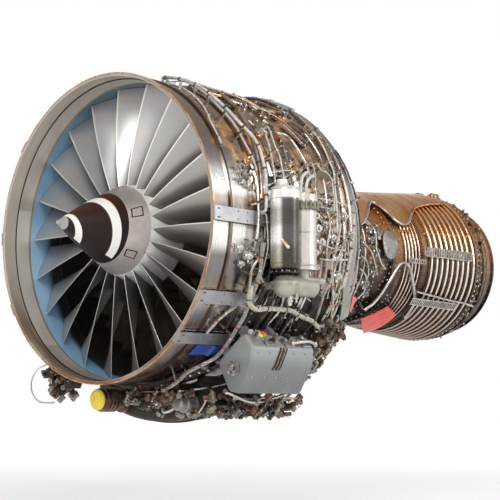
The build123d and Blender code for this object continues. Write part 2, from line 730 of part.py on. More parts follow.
def duct_line(y):
    """Inner wall of the bypass duct behind the guide vanes."""
    return tip_line(y, SPLITTER_REAR_Y + SEAT, FRAME_REAR_Y, DUCT_INNER_R, DUCT_REAR_R)


def make_guide_vanes():
    vane = loft([aerofoil(r, VANE_LE, VANE_CHORD, -VANE_STAGGER, VANE_T, 0.06)
                 for r in (DUCT_INNER_R - 20, LINER_BORE_R + 20)])
    vane = vane & hoop(DUCT_INNER_R + SEAT, LINER_BORE_R - SEAT, VANE_LE - 60, FAN_CASE_REAR_Y + 160)
    return around(vane, VANE_COUNT)


def make_splitter():
    """Lip that parts the fan air into the core and the bypass duct."""
    t = SPLITTER_T
    fit = BOOSTER_INLET_R + BOOSTER_CASE_T + 1
    rear = SPLITTER_REAR_Y
    mid_r = mix(SPLITTER_R, DUCT_INNER_R, 0.56)
    return turned(
        (SPLITTER_R - 3, SPLITTER_Y + t), (SPLITTER_R, SPLITTER_Y), (mid_r, SPLITTER_Y + 85),
        (DUCT_INNER_R, SPLITTER_Y + 185), (DUCT_INNER_R, rear), (DUCT_INNER_R - t, rear),
        (DUCT_INNER_R - t, SPLITTER_Y + 187), (mid_r - t, SPLITTER_Y + 91), (fit, BOOSTER_CASE_Y + 20),
        (fit, BOOSTER_CASE_Y - SEAT), (BOOSTER_INLET_R, BOOSTER_CASE_Y - SEAT),
    )


def make_bearing_housing(front_r, mid_r, hp_r):
    """Inner wall of the core duct with the cones that hold the three front bearings."""
    y0 = BOOSTER_EXIT_Y + SEAT
    w = BEARING_W
    y1 = LP_FRONT_BEARING_Y
    y2 = LP_MID_BEARING_Y
    y3 = HP_FRONT_BEARING_Y
    f = front_r + SHAFT_FIT
    m = mid_r + SHAFT_FIT
    h = hp_r + SHAFT_FIT
    end = y3 + w + 28
    return turned(
        (BOOSTER_HUB_EXIT_R, y0), (SWAN_IN_R0, SWAN_Y0), (SWAN_IN_R1, SWAN_Y1),
        (HPC_HUB_INLET_R - 3, y3 + 10), (HPC_HUB_INLET_R - 10, end), (h, end), (h, y3), (h + 12, y3),
        (SWAN_IN_R1 - 50, y3 - 20), (SWAN_IN_R1 - 12, SWAN_Y1 - 10), (SWAN_IN_R1 - 50, SWAN_Y1 - 82),
        (m + 14, y2 + w + 40), (m, y2 + w), (m, y2), (m + 8, y2), (m + 8, y2 - 6), (f, y1 + w), (f, y1),
        (f + 10, y1), (f + 12, y1 + w), (m + 24, y2), (m + 32, y2 + w), (SWAN_IN_R1 - 30, SWAN_Y1 - 87),
        (SWAN_IN_R1 + 14, SWAN_Y1 - 62), (SWAN_IN_R0 - 12, SWAN_Y0 - 5), (BOOSTER_HUB_EXIT_R - 10, y0),
    )


def front_case_line(y):
    """Outside of the front compressor case between its flanges."""
    y0 = HPC_INLET_Y + CORE_FLANGE_T
    y1 = HPC_SPLIT_Y - SEAT - CORE_FLANGE_T
    end_r = tip_line(HPC_SPLIT_Y - SEAT, HPC_INLET_Y, HPC_EXIT_Y, HPC_INLET_R, HPC_EXIT_R)
    return tip_line(y, y0, y1, HPC_INLET_R + HPC_CASE_T, end_r + HPC_CASE_T)


def make_hp_compressor():
    """Bladed drum and the two case halves with their stator rows."""
    def tip(y):
        return tip_line(y, HPC_INLET_Y, HPC_EXIT_Y, HPC_INLET_R, HPC_EXIT_R)

    def hub(y):
        return tip_line(y, HPC_INLET_Y, HPC_EXIT_Y, HPC_HUB_INLET_R, HPC_HUB_EXIT_R)

    outer = []
    stator_rows = []
    for i in range(HPC_STAGES):
        y0 = HPC_FIRST_Y + i * HPC_PITCH
        y1 = y0 + HPC_ROW_W
        outer += [(hub(y0), y0), (tip(y0) - ROW_GAP, y0), (tip(y1) - ROW_GAP, y1), (hub(y1), y1)]
        s0 = y1 + (HPC_PITCH - HPC_ROW_W - HPC_STATOR_W) / 2
        stator_rows.append((s0, s0 + HPC_STATOR_W))
    t = HPC_DRUM_T
    rear = HPC_EXIT_Y - 6
    stub_r = HP_SHAFT_R - HP_STUB_STEP
    fit = HP_SHAFT_R + SHAFT_FIT
    front = HP_FRONT_BEARING_Y - 8
    drum = turned(
        (stub_r, front), (stub_r, HPC_FIRST_Y - 36), (HPC_HUB_INLET_R - 6, HPC_FIRST_Y - 10), *outer,
        (hub(rear), rear), (hub(rear) - t, rear), (hub(rear) - t, rear - 30), (fit + t, rear - 4),
        (fit + t, rear + 40), (fit, rear + 40), (fit, rear - 30), (hub(HPC_FIRST_Y) - t, HPC_FIRST_Y + 6),
        (HP_SHAFT_BORE_R, HPC_FIRST_Y - 26), (HP_SHAFT_BORE_R, front),
    )

    def case(y0, y1, low, high):
        wall = [(tip(y0), y0)]
        for s0, s1 in stator_rows:
            if s0 > y0 + 1 and s1 < y1 - 1:
                wall += [(tip(s0), s0), (hub(s0) + ROW_GAP, s0), (hub(s1) + ROW_GAP, s1), (tip(s1), s1)]
        wall.append((tip(y1), y1))
        skin = HPC_CASE_T
        ft = CORE_FLANGE_T
        return turned(*wall, (high, y1), (high, y1 - ft), (tip(y1) + skin, y1 - ft),
                      (tip(y0) + skin, y0 + ft), (low, y0 + ft), (low, y0))

    front_case = case(HPC_INLET_Y, HPC_SPLIT_Y - SEAT, HPC_FRONT_FLANGE_R, HPC_SPLIT_FLANGE_R)
    rear_case = case(HPC_SPLIT_Y, HPC_EXIT_Y - SEAT, HPC_SPLIT_FLANGE_R, HPC_REAR_FLANGE_R)
    return drum, front_case, rear_case


def make_bleed_ring():
    """Hollow manifold that stands on the rear compressor case."""
    r_in = tip_line(BLEED_RING_Y - BLEED_RING_W / 2, HPC_INLET_Y, HPC_EXIT_Y, HPC_INLET_R,
                    HPC_EXIT_R) + HPC_CASE_T / 2
    y0 = BLEED_RING_Y - BLEED_RING_W / 2
    y1 = BLEED_RING_Y + BLEED_RING_W / 2
    return turned((r_in, y0), (BLEED_RING_R - 20, y0), (BLEED_RING_R, y0 + 20), (BLEED_RING_R, y1 - 20),
                  (BLEED_RING_R - 20, y1), (r_in, y1), (r_in, y1 - 6), (BLEED_RING_R - 23, y1 - 6),
                  (BLEED_RING_R - 6, y1 - 23), (BLEED_RING_R - 6, y0 + 23), (BLEED_RING_R - 23, y0 + 6),
                  (r_in, y0 + 6))


def make_combustor():
    """Outer case, liner, fuel nozzles with their tips in the liner's dome, and the fuel ring."""
    y0 = HPC_EXIT_Y
    t = COMB_CASE_T
    r = COMB_CASE_R
    neck = HPC_EXIT_R + HPC_CASE_T
    ft = CORE_FLANGE_T
    flange = HPT_CASE_R + CORE_FLANGE_H
    rear = COMB_REAR_Y
    case = turned(
        (HPC_EXIT_R, y0), (HPC_REAR_FLANGE_R, y0), (HPC_REAR_FLANGE_R, y0 + ft), (neck + 24, y0 + ft),
        (r, y0 + 52), (r, rear - ft), (flange, rear - ft), (flange, rear - SEAT), (r - t, rear - SEAT),
        (r - t, y0 + 56), (neck + 18, y0 + ft + 8), (HPC_EXIT_R, y0 + ft + 8),
    )
    hole = Pos(0, NOZZLE_Y, r) * Cylinder(NOZZLE_STEM_R + SEAT, 60)
    case = case - around(hole, NOZZLE_COUNT)
    w = LINER_WALL
    dome = LINER_DOME
    side = LINER_FRONT_Y + dome
    liner = turned(
        (LINER_IN_R, LINER_REAR_Y), (LINER_IN_R, side), (LINER_IN_R + dome, LINER_FRONT_Y),
        (LINER_OUT_R - dome, LINER_FRONT_Y), (LINER_OUT_R, side), (LINER_OUT_R, LINER_REAR_Y),
        (LINER_OUT_R - w, LINER_REAR_Y), (LINER_OUT_R - w, side + 1),
        (LINER_OUT_R - dome - 1, LINER_FRONT_Y + w),
        (LINER_IN_R + dome + 1, LINER_FRONT_Y + w), (LINER_IN_R + w, side + 1),
        (LINER_IN_R + w, LINER_REAR_Y),
    )
    cup = Pos(0, LINER_FRONT_Y, NOZZLE_R) * Rot(90, 0, 0) * Cylinder(NOZZLE_TIP_R + SEAT, 30)
    liner = liner - around(cup, NOZZLE_COUNT)
    stem = drum_up(NOZZLE_STEM_R, NOZZLE_R, r + NOZZLE_PAD_H, 0, NOZZLE_Y)
    tip = drum_along(NOZZLE_TIP_R, NOZZLE_Y - 12, LINER_FRONT_Y + w + 4, 0, NOZZLE_R)
    pad = Pos(0, NOZZLE_Y, r + SEAT + NOZZLE_PAD_H / 2) * Box(NOZZLE_PAD_W, NOZZLE_PAD_L, NOZZLE_PAD_H)
    pad = pad & hoop(r + SEAT, r + 40, NOZZLE_Y - NOZZLE_PAD_L, NOZZLE_Y + NOZZLE_PAD_L)
    nozzles = around(stem + tip + pad, NOZZLE_COUNT)
    ring_r = math.hypot(r + SEAT + NOZZLE_PAD_H, NOZZLE_PAD_W / 2) + MANIFOLD_TUBE_R + SEAT
    manifold = Pos(0, NOZZLE_Y, 0) * Rot(90, 0, 0) * Torus(ring_r, MANIFOLD_TUBE_R)
    return case, liner, nozzles, manifold


def make_inner_case(bearing_r):
    """Inner combustor wall, held by the diffuser vanes, with the rear high-pressure bearing seat."""
    y0 = HPC_EXIT_Y
    b0 = HP_REAR_BEARING_Y
    b1 = b0 + BEARING_W
    fit = bearing_r + SHAFT_FIT
    wall = turned((HPC_HUB_EXIT_R, y0), (HPC_HUB_EXIT_R, y0 + 30), (INNER_CASE_R + INNER_CASE_T, y0 + 70),
                  (INNER_CASE_R + INNER_CASE_T, b0 - 20), (INNER_CASE_R, b1), (fit, b1), (fit, b0),
                  (fit + 8, b0),
                  (INNER_CASE_R - 4, b0 - 10), (INNER_CASE_R, b0 - 24), (INNER_CASE_R, y0 + 66),
                  (HPC_HUB_EXIT_R - 8, y0 + 26),
                  (HPC_HUB_EXIT_R - 8, y0))
    height = HPC_EXIT_R - HPC_HUB_EXIT_R - 2 * SEAT - 1
    vane = Pos(0, y0 + 10, (HPC_HUB_EXIT_R + HPC_EXIT_R) / 2) * Box(3, 14, height)
    return [wall] + around(vane, DIFFUSER_VANES)


def cooled_line(y):
    """Outside of the turbine cases under the cooling tubes."""
    if y < HPT_REAR_Y:
        return tip_line(y, COMB_REAR_Y, HPT_REAR_Y, HPT_CASE_R, LPT_FRONT_R)
    return tip_line(y, HPT_REAR_Y, LPT_REAR_Y, LPT_FRONT_R, LPT_REAR_R)


def make_turbine_cases():
    t = TURB_CASE_T
    fh = CORE_FLANGE_H
    ft = CORE_FLANGE_T
    y0 = COMB_REAR_Y
    y1 = HPT_REAR_Y
    y2 = LPT_REAR_Y
    n0 = y0 + 4
    row1, row2 = HPT_STAGE_Y
    w = HPT_ROW_W
    shroud = HPT_TIP_R + ROW_GAP
    hub = HPT_HUB_R + ROW_GAP
    g = 10
    hpt = turned((HPT_CASE_R - t, y0), (HPT_CASE_R + fh, y0), (HPT_CASE_R + fh, y0 + ft),
                 (cooled_line(y0 + ft), y0 + ft),
                 (cooled_line(y1 - ft), y1 - ft), (LPT_FRONT_R + fh, y1 - ft),
                 (LPT_FRONT_R + fh, y1 - SEAT),
                 (LPT_FRONT_R - t, y1 - SEAT), (shroud, y1 - 20), (shroud, row2 - g), (hub, row2 - g),
                 (hub, row1 + w + g),
                 (shroud, row1 + w + g), (shroud, row1 - g), (hub, row1 - g), (hub, n0), (shroud, n0))
    drum_r = LPT_HUB_R
    bore = [(LPT_FRONT_R - t, y1)]
    rim = [(drum_r - 4, LPT_FIRST_Y - 8)]
    for i in range(LPT_STAGES):
        r0 = LPT_FIRST_Y + i * LPT_PITCH
        r1 = r0 + LPT_ROW_W
        s1 = r0 - (LPT_PITCH - LPT_ROW_W - LPT_STATOR_W) / 2
        s0 = s1 - LPT_STATOR_W
        bore += [(cooled_line(s0) - t, s0), (drum_r + ROW_GAP, s0), (drum_r + ROW_GAP, s1),
                 (cooled_line(s1) - t, s1)]
        if i < LPT_STAGES - 1:
            rim += [(drum_r, r0), (cooled_line(r0) - t - ROW_GAP, r0),
                    (cooled_line(r1) - t - ROW_GAP, r1), (drum_r, r1)]
    lpt = turned(*bore, (LPT_REAR_R - t, y2), (LPT_REAR_R + fh, y2), (LPT_REAR_R + fh, y2 - ft),
                 (cooled_line(y2 - ft), y2 - ft), (cooled_line(y1 + ft), y1 + ft),
                 (LPT_FRONT_R + fh, y1 + ft),
                 (LPT_FRONT_R + fh, y1))
    last0 = LPT_FIRST_Y + (LPT_STAGES - 1) * LPT_PITCH
    last1 = last0 + LPT_ROW_W
    fit = LP_SHAFT_R + SHAFT_FIT
    d = LPT_DRUM_T
    mid = LPT_FIRST_Y + 2 * LPT_PITCH
    drum = turned(*rim, (drum_r, last1 + 4), (drum_r - d, last1 + 4), (drum_r - d, mid + 30),
                  (fit + 40, mid + 96),
                  (fit + 26, mid + 150), (fit, mid + 150), (fit, mid + 60), (fit + 18, mid + 60),
                  (fit + 34, mid + 70),
                  (drum_r - d, mid + 12), (drum_r - d, LPT_FIRST_Y - 8))
    blade = loft([aerofoil(r, last0 + 2, 32, 30, 3.4, 0.08) for r in (drum_r - 6, LPT_REAR_R)])
    blade = blade & hoop(drum_r + SEAT, cooled_line(last0) - t - ROW_GAP, last0 - 20, last1 + 30)
    return hpt, lpt, drum, around(blade, LAST_ROW_BLADES)


def make_hp_turbine():
    fit = HP_SHAFT_R
    rear = HPC_EXIT_Y - 6
    end = HPT_STAGE_Y[1] + HPT_ROW_W + 30
    outline = [(HP_SHAFT_BORE_R, rear - 24), (fit, rear - 24)]
    for y in HPT_STAGE_Y:
        y1 = y + HPT_ROW_W
        outline += [(fit, y - 24), (fit + 26, y - 24), (fit + 40, y + 8), (HPT_HUB_R - 30, y + 12),
                    (HPT_HUB_R, y),
                    (HPT_TIP_R, y), (HPT_TIP_R, y1), (HPT_HUB_R, y1), (HPT_HUB_R - 30, y1 - 12),
                    (fit + 40, y1 - 8),
                    (fit + 26, y1 + 20), (fit, y1 + 20)]
    outline += [(fit, end), (HP_SHAFT_BORE_R, end)]
    return turned(*outline)


def make_exhaust(bearing_r):
    y0 = LPT_REAR_Y + SEAT
    y1 = EXH_REAR_Y
    t = EXH_CASE_T
    ft = CORE_FLANGE_T
    fh = CORE_FLANGE_H
    case = turned((LPT_REAR_R - TURB_CASE_T, y0), (LPT_REAR_R + fh, y0), (LPT_REAR_R + fh, y0 + ft),
                  (EXH_FRONT_R - 4, y0 + ft), (EXH_FRONT_R - 4, y0 + 90), (EXH_FRONT_R + 6, y0 + 92),
                  (EXH_FRONT_R + 6, y0 + 104), (EXH_FRONT_R - 8, y0 + 106), (EXH_REAR_R, y1 - 12),
                  (EXH_RIM_R, y1 - 12),
                  (EXH_RIM_R, y1), (EXH_REAR_R - t, y1), (EXH_FRONT_R - 18, y0 + 100),
                  (LPT_REAR_R - TURB_CASE_T, y0 + 20))
    hole = Pos(0, y1, (EXH_REAR_R + EXH_RIM_R) / 2) * Rot(90, 0, 0) * Cylinder(EXH_BOLT_R, 40)
    case = case - around(hole, EXH_BOLTS, 180.0 / EXH_BOLTS)
    fit = bearing_r + SHAFT_FIT
    b0 = LP_REAR_BEARING_Y
    b1 = b0 + BEARING_W
    h = EXH_HUB_R
    hub = turned((h, EXH_HUB_Y0), (h, EXH_HUB_Y1), (h - 8, EXH_HUB_Y1), (h - 8, b1 + 30),
                 (fit + 20, b1), (fit, b1),
                 (fit, b0), (fit + 10, b0), (h - 8, b0 + 22), (h - 8, EXH_HUB_Y0))
    span = (h - 20, EXH_FRONT_R + 30)
    strut = loft([aerofoil(r, EXH_STRUT_LE, EXH_STRUT_CHORD, 4, EXH_STRUT_T, 0.02) for r in span])
    gas = turned((h + SEAT, EXH_HUB_Y0 + 8), (exhaust_bore(EXH_HUB_Y0 + 8) - SEAT, EXH_HUB_Y0 + 8),
                 (exhaust_bore(y0 + 100) - SEAT, y0 + 100), (exhaust_bore(EXH_HUB_Y1) - SEAT, EXH_HUB_Y1),
                 (h + SEAT, EXH_HUB_Y1))
    strut = strut & gas
    lip = EXH_HUB_Y1 - 30
    cover = turned((0, lip + 44), (120, lip + 34), (h - 8 - SEAT, lip), (h - 8 - SEAT, lip - 14),
                   (h - 16, lip - 14),
                   (h - 16, lip - 4), (116, lip + 26), (0, lip + 36))
    return case, hub, around(strut, EXH_STRUTS, 15), cover


def exhaust_bore(y):
    y0 = LPT_REAR_Y + SEAT
    if y < y0 + 100:
        return tip_line(y, y0 + 20, y0 + 100, LPT_REAR_R - TURB_CASE_T, EXH_FRONT_R - 18)
    return tip_line(y, y0 + 100, EXH_REAR_Y, EXH_FRONT_R - 18, EXH_REAR_R - EXH_CASE_T)


def make_cooling_tubes():
    """Ring tubes on stand-offs round both turbine cases, and the flat boxes that feed them."""
    rows = [(COOL_FIRST_Y + i * COOL_PITCH, COOL_TUBE_R, COOL_STAND_OFF) for i in range(COOL_COUNT)]
    rows.append((COOL_LAST_Y, COOL_TUBE_R, COOL_STAND_OFF))
    rows += [(FINE_FIRST_Y + i * FINE_PITCH, FINE_TUBE_R, FINE_STAND_OFF) for i in range(FINE_COUNT)]
    rings = []
    for y, tube_r, stand_off in rows:
        ring_r = cooled_line(y) + stand_off
        low = cooled_line(y + COOL_LEG_HALF) + SEAT
        ring = Pos(0, y, 0) * Rot(90, 0, 0) * Torus(ring_r, tube_r)
        side = make_face(Polyline((low, y - COOL_LEG_HALF), (ring_r, y - COOL_LEG_HALF),
                                  (ring_r, y + COOL_LEG_HALF), (low, y + COOL_LEG_HALF), close=True))
        leg = revolve(side, Axis.Y, revolution_arc=COOL_LEG_ARC)
        rings.append(ring + around(leg, COOL_LEGS, 180.0 / COOL_LEGS))
    return rings


def make_gearbox():
    """Curved housing under the fan case with drive pads on both faces and lugs up to the case."""
    span = GEARBOX_CLOCK_1 - GEARBOX_CLOCK_0
    profile = make_face(Polyline((GEARBOX_IN_R, GEARBOX_Y0), (GEARBOX_OUT_R, GEARBOX_Y0),
                                 (GEARBOX_OUT_R, GEARBOX_Y1),
                                 (GEARBOX_IN_R, GEARBOX_Y1), close=True))
    body = Rot(0, GEARBOX_CLOCK_0 - 90, 0) * revolve(profile, Axis.Y, revolution_arc=span)
    body = chamfer(body.edges().group_by(SortBy.LENGTH)[-1], GEARBOX_EDGE)
    mid = (GEARBOX_Y0 + GEARBOX_Y1) / 2
    ridge = hoop(GEARBOX_IN_R + 20, GEARBOX_OUT_R + 8, mid - 9, mid + 9)
    body += ridge & sector_band(GEARBOX_CLOCK_0 + 2, GEARBOX_CLOCK_1 - 2)
    for clock in (GEARBOX_CLOCK_0 + 5, GEARBOX_CLOCK_1 - 5):
        lug_y = RIB_STATIONS[-1]
        low = CASE_R + RIB_H + SEAT
        lug = Pos(0, lug_y, (low + GEARBOX_IN_R) / 2 + 4) * Box(46, 22, GEARBOX_IN_R - low + 24)
        body += Rot(0, clock, 0) * lug & hoop(low, GEARBOX_OUT_R, lug_y - 20, lug_y + 20)
    pad = drum_along(PAD_R, GEARBOX_Y0 - PAD_H, GEARBOX_Y0 + 4)
    pad -= drum_along(PAD_R - 30, GEARBOX_Y0 - PAD_H - 1, GEARBOX_Y0 - PAD_H + 5)
    hole = drum_along(PAD_BOLT_R, GEARBOX_Y0 - PAD_H - 1, GEARBOX_Y0 + 2, PAD_PCD / 2, 0)
    pad -= [Rot(0, i * 360.0 / PAD_BOLTS, 0) * hole for i in range(PAD_BOLTS)]
    x, y, z = at_clock((GEARBOX_IN_R + GEARBOX_OUT_R) / 2, PAD_CLOCK, 0)
    return body + Pos(x, 0, z) * pad


def sector_band(clock_0, clock_1):
    """Wedge of the space between two clock angles."""
    profile = make_face(Polyline((1, SPINNER_TIP_Y), (2 * CASE_R, SPINNER_TIP_Y), (2 * CASE_R, EXH_REAR_Y),
                                 (1, EXH_REAR_Y), close=True))
    return Rot(0, clock_0 - 90, 0) * revolve(profile, Axis.Y, revolution_arc=clock_1 - clock_0)


def make_starter():
    """Ribbed air turbine starter on the front of the gearbox, and the cap over its inlet."""
    x, y, z = at_clock(STARTER_AXIS_R, STARTER_CLOCK, 0)
    y0 = STARTER_FRONT_Y
    y1 = GEARBOX_Y0 - SEAT
    outline = [(0, y0), (CAP_R + 1, y0), (CAP_R + 1, y0 + 10), (STARTER_R - 12, y0 + 16)]
    pitch = 26.0
    for i in range(STARTER_FINS):
        a = y0 + 22 + i * pitch
        outline += [(STARTER_R - 10, a), (STARTER_R, a + 3), (STARTER_R, a + 13), (STARTER_R - 10, a + 16)]
    outline += [(STARTER_R - 14, y1 - 44), (STARTER_R - 14, y1 - 14), (STARTER_R + 4, y1 - 14),
                (STARTER_R + 4, y1), (0, y1)]
    body = Pos(x, 0, z) * turned(*outline)
    front = y0 - SEAT
    cap = Pos(x, 0, z) * turned((0, front - CAP_T), (CAP_R - 16, front - CAP_T + 1),
                                (CAP_R - 3, front - CAP_T + 7),
                                (CAP_R, front - 5), (CAP_R, front), (0, front))
    return body, cap


def make_pump(radius, y0, y1, axis_r, clock, step=0.78):
    """Stepped pump or machine body bolted to a gearbox face."""
    x, y, z = at_clock(axis_r, clock, 0)
    near, far = (y1, y0) if y1 < (GEARBOX_Y0 + GEARBOX_Y1) / 2 else (y0, y1)
    way = 1 if far > near else -1
    at = [near, near + way * 12, near + way * 12, mix(near, far, 0.55), mix(near, far, 0.6),
          far - way * 10, far]
    r = [radius + 8, radius + 8, radius, radius, radius * step, radius * step, radius * step - 10]
    body = turned((0, near), *zip(r, at), (0, far))
    boss = Pos(0, mix(near, far, 0.34), radius) * Cylinder(radius * 0.3, radius * 0.5)
    return Pos(x, 0, z) * (body + Rot(0, clock, 0) * boss)


def make_oil_tank():
    """Welded tank low on the side, its cradle feet, and the filler neck with its hinge ears."""
    outline = make_face(Polyline(*TANK_CORNERS, close=True))
    face = Plane(origin=(0, TANK_Y1, 0), x_dir=(1, 0, 0), z_dir=(0, -1, 0)) * outline
    tank = extrude(face, TANK_Y1 - TANK_Y0)
    tank = fillet(tank.edges().filter_by(Axis.Y), TANK_EDGE)
    ends = tank.faces().sort_by(Axis.Y)
    tank = fillet(ends[0].edges() + ends[-1].edges(), TANK_EDGE / 2)
    for y in TANK_FOOT_Y:
        for clock in TANK_FOOT_CLOCKS:
            foot = Pos(0, y, (CASE_R + TANK_FOOT_TOP_R) / 2) * Box(TANK_FOOT_W, 40,
                                                                   TANK_FOOT_TOP_R - CASE_R)
            tank += Rot(0, clock, 0) * foot - case_room()
    neck = Cylinder(FILLER_NECK_R, 2 * FILLER_NECK_H)
    pin_x = -FILLER_CAP_R - CAP_PIN_OUT
    reach = CAP_TAB_W / 2 + SEAT + CAP_EAR_T
    for side in (-1, 1):
        ear_y = side * (reach - CAP_EAR_T / 2)
        top = CAP_PIN_UP + CAP_EAR_TOP
        neck += Pos(pin_x, ear_y, (top - CAP_EAR_FOOT) / 2) * Box(4 * CAP_PIN_R, CAP_EAR_T,
                                                                  top + CAP_EAR_FOOT)
    neck += Pos(pin_x, 0, CAP_PIN_UP) * Rot(90, 0, 0) * Cylinder(CAP_PIN_R, 2 * reach)
    return tank + filler_place() * neck


def filler_place():
    """Place of the filler, square on the middle of the tank's upper face."""
    (x0, z0), (x1, z1) = TANK_CORNERS[1:3]
    lean = math.degrees(math.atan2(z0 - z1, x1 - x0))
    return Pos((x0 + x1) / 2, FILLER_Y, (z0 + z1) / 2) * Rot(0, lean, 0)


def make_filler_cap():
    low = FILLER_NECK_H + SEAT
    cap = Pos(0, 0, low + FILLER_CAP_H / 2) * Cylinder(FILLER_CAP_R, FILLER_CAP_H)
    cap = chamfer(cap.edges().group_by(Axis.Z)[-1], 3)
    cap += Pos(0, 0, low + FILLER_CAP_H + 3) * Box(2 * FILLER_CAP_R - 8, 9, 8)
    pin_x = -FILLER_CAP_R - CAP_PIN_OUT
    barrel = Pos(pin_x, 0, CAP_PIN_UP) * Rot(90, 0, 0) * Cylinder(2 * CAP_PIN_R, CAP_TAB_W)
    tab = Pos(pin_x / 2 - FILLER_CAP_R / 4, 0, CAP_PIN_UP) * Box(-pin_x - FILLER_CAP_R / 2, CAP_TAB_W,
                                                                 2 * CAP_PIN_R)
    bore = Pos(pin_x, 0, CAP_PIN_UP) * Rot(90, 0, 0) * Cylinder(CAP_PIN_R + SHAFT_FIT, 2 * CAP_TAB_W)
    return filler_place() * (cap + barrel + tab - bore)


def make_cooler():
    """Upright fuel and oil heat exchanger with its bolted head and two saddle feet."""
    x, y = COOLER_X, COOLER_Y
    body = drum_up(COOLER_R, COOLER_Z0, COOLER_Z1, x, y)
    body += drum_up(COOLER_HEAD_R, COOLER_Z1, COOLER_Z1 + 16, x, y)
    body += drum_up(COOLER_HEAD_R - 6, COOLER_Z1 + 16, COOLER_Z1 + 42, x, y)
    body += drum_up(COOLER_R - 40, COOLER_Z1 + 42, COOLER_Z1 + 56, x - 14, y)
    body += drum_up(COOLER_HEAD_R - 4, COOLER_Z0 - COOLER_BASE_T, COOLER_Z0 + 6, x, y)
    for z in (COOLER_Z0 + 60, COOLER_Z1 - 60):
        foot = Pos(x - COOLER_R - 6, y, z) * Box(120, 56, 24)
        body += foot - case_room()
    return body


def make_canister():
    """Upright air canister beside the heat exchanger."""
    x, y = CANISTER_X, CANISTER_Y
    z0, z1 = CANISTER_Z0, CANISTER_Z1
    body = drum_up(CANISTER_R, z0, z1, x, y)
    body = fillet(body.edges().group_by(Axis.Z)[0] + body.edges().group_by(Axis.Z)[-1], 22)
    body += drum_up(28, z1 - 4, z1 + 38, x - 18, y)
    for z in (z0 + 70, z1 - 90):
        foot = Pos(x - CANISTER_R, y, z) * Box(90, 48, 22)
        body += foot - case_room()
    return body


def make_filter():
    """Round bowl and filter body under the heat exchanger, on two arms."""
    r, z = BOWL_R, BOWL_Z
    band = r + BOWL_BAND
    bowl = turned_up(BOWL_X, BOWL_Y, make_face([
        ThreePointArc((0, z - r), (r * math.sin(math.pi / 4), z - r * math.cos(math.pi / 4)), (r, z)),
        Polyline((r, z), (band, z), (band, z + 16), (r - 6, z + 16), (r - 24, z + 44), (0, z + 44)),
        Line((0, z + 44), (0, z - r)),
    ]))
    body_end = COOLER_Y + COOLER_HEAD_R + 14
    side = drum_along(FILTER_BODY_R, BOWL_Y, body_end, BOWL_X + 8, BOWL_Z)
    side = fillet(side.edges().group_by(Axis.Y)[-1], 18)
    neck = drum_up(34, BOWL_Z, COOLER_Z0 - COOLER_BASE_T - SEAT, COOLER_X, COOLER_Y)
    stub = drum_along(19, COOLER_Y, body_end + 46, BOWL_X + 34, BOWL_Z + 34)
    housing = bowl + side + neck + stub
    for y in (BOWL_Y, COOLER_Y + 36):
        arm = Pos(BOWL_X - BOWL_R, y, BOWL_Z) * Box(2 * BOWL_R + 16, 36, 34)
        housing += arm - case_room()
    return housing


def make_control_box():
    """Finned engine control box on the far side, on four feet."""
    base = CASE_R + RIB_H + BOX_LIFT
    box = Pos(0, BOX_Y, base + BOX_H / 2) * Box(BOX_W, BOX_L, BOX_H)
    box = fillet(box.edges().filter_by(Axis.Z), 16)
    for i in range(FIN_COUNT):
        x = mix(-BOX_W / 2 + 40, BOX_W / 2 - 40, i / (FIN_COUNT - 1))
        box += Pos(x, BOX_Y, base + BOX_H + 5) * Box(5, BOX_L - 50, 12)
    for x in (-BOX_W / 2 + 40, BOX_W / 2 - 40):
        for y in (BOX_Y - 90, BOX_Y + 90):
            foot = Pos(x, y, base - 30) * Box(36, 36, 90)
            box += foot - case_room()
    front = BOX_Y - BOX_L / 2
    for i in range(BOX_PLUGS):
        x = mix(-BOX_W / 2 + 70, BOX_W / 2 - 70, i / (BOX_PLUGS - 1))
        box += drum_along(17, front - 34, front + 2, x, base + BOX_H / 2)
    return Rot(0, BOX_CLOCK, 0) * box


def make_front_mount():
    """Saddle on top of the core behind the fan frame, with its bolt faces up."""
    y0 = FRONT_MOUNT_Y - FRONT_MOUNT_L / 2
    y1 = FRONT_MOUNT_Y + FRONT_MOUNT_L / 2
    base_r = HPC_FRONT_FLANGE_R + 14
    body = Pos(0, FRONT_MOUNT_Y, (base_r + FRONT_MOUNT_TOP) / 2) * Box(
        FRONT_MOUNT_W, FRONT_MOUNT_L, FRONT_MOUNT_TOP - base_r)
    body = fillet(body.edges().filter_by(Axis.Z), 12)
    base = turned((front_case_line(y0) + SEAT, y0), (base_r + 6, y0), (base_r + 6, y1),
                  (front_case_line(y1) + SEAT, y1))
    body += base & sector_band(-FRONT_MOUNT_ARC / 2, FRONT_MOUNT_ARC / 2)
    for dx in (-FRONT_MOUNT_DX / 2, FRONT_MOUNT_DX / 2):
        for dy in (-FRONT_MOUNT_DY / 2, FRONT_MOUNT_DY / 2):
            body -= Pos(dx, FRONT_MOUNT_Y + dy, FRONT_MOUNT_TOP) * Cylinder(FRONT_MOUNT_BOLT_R, 80)
    return body


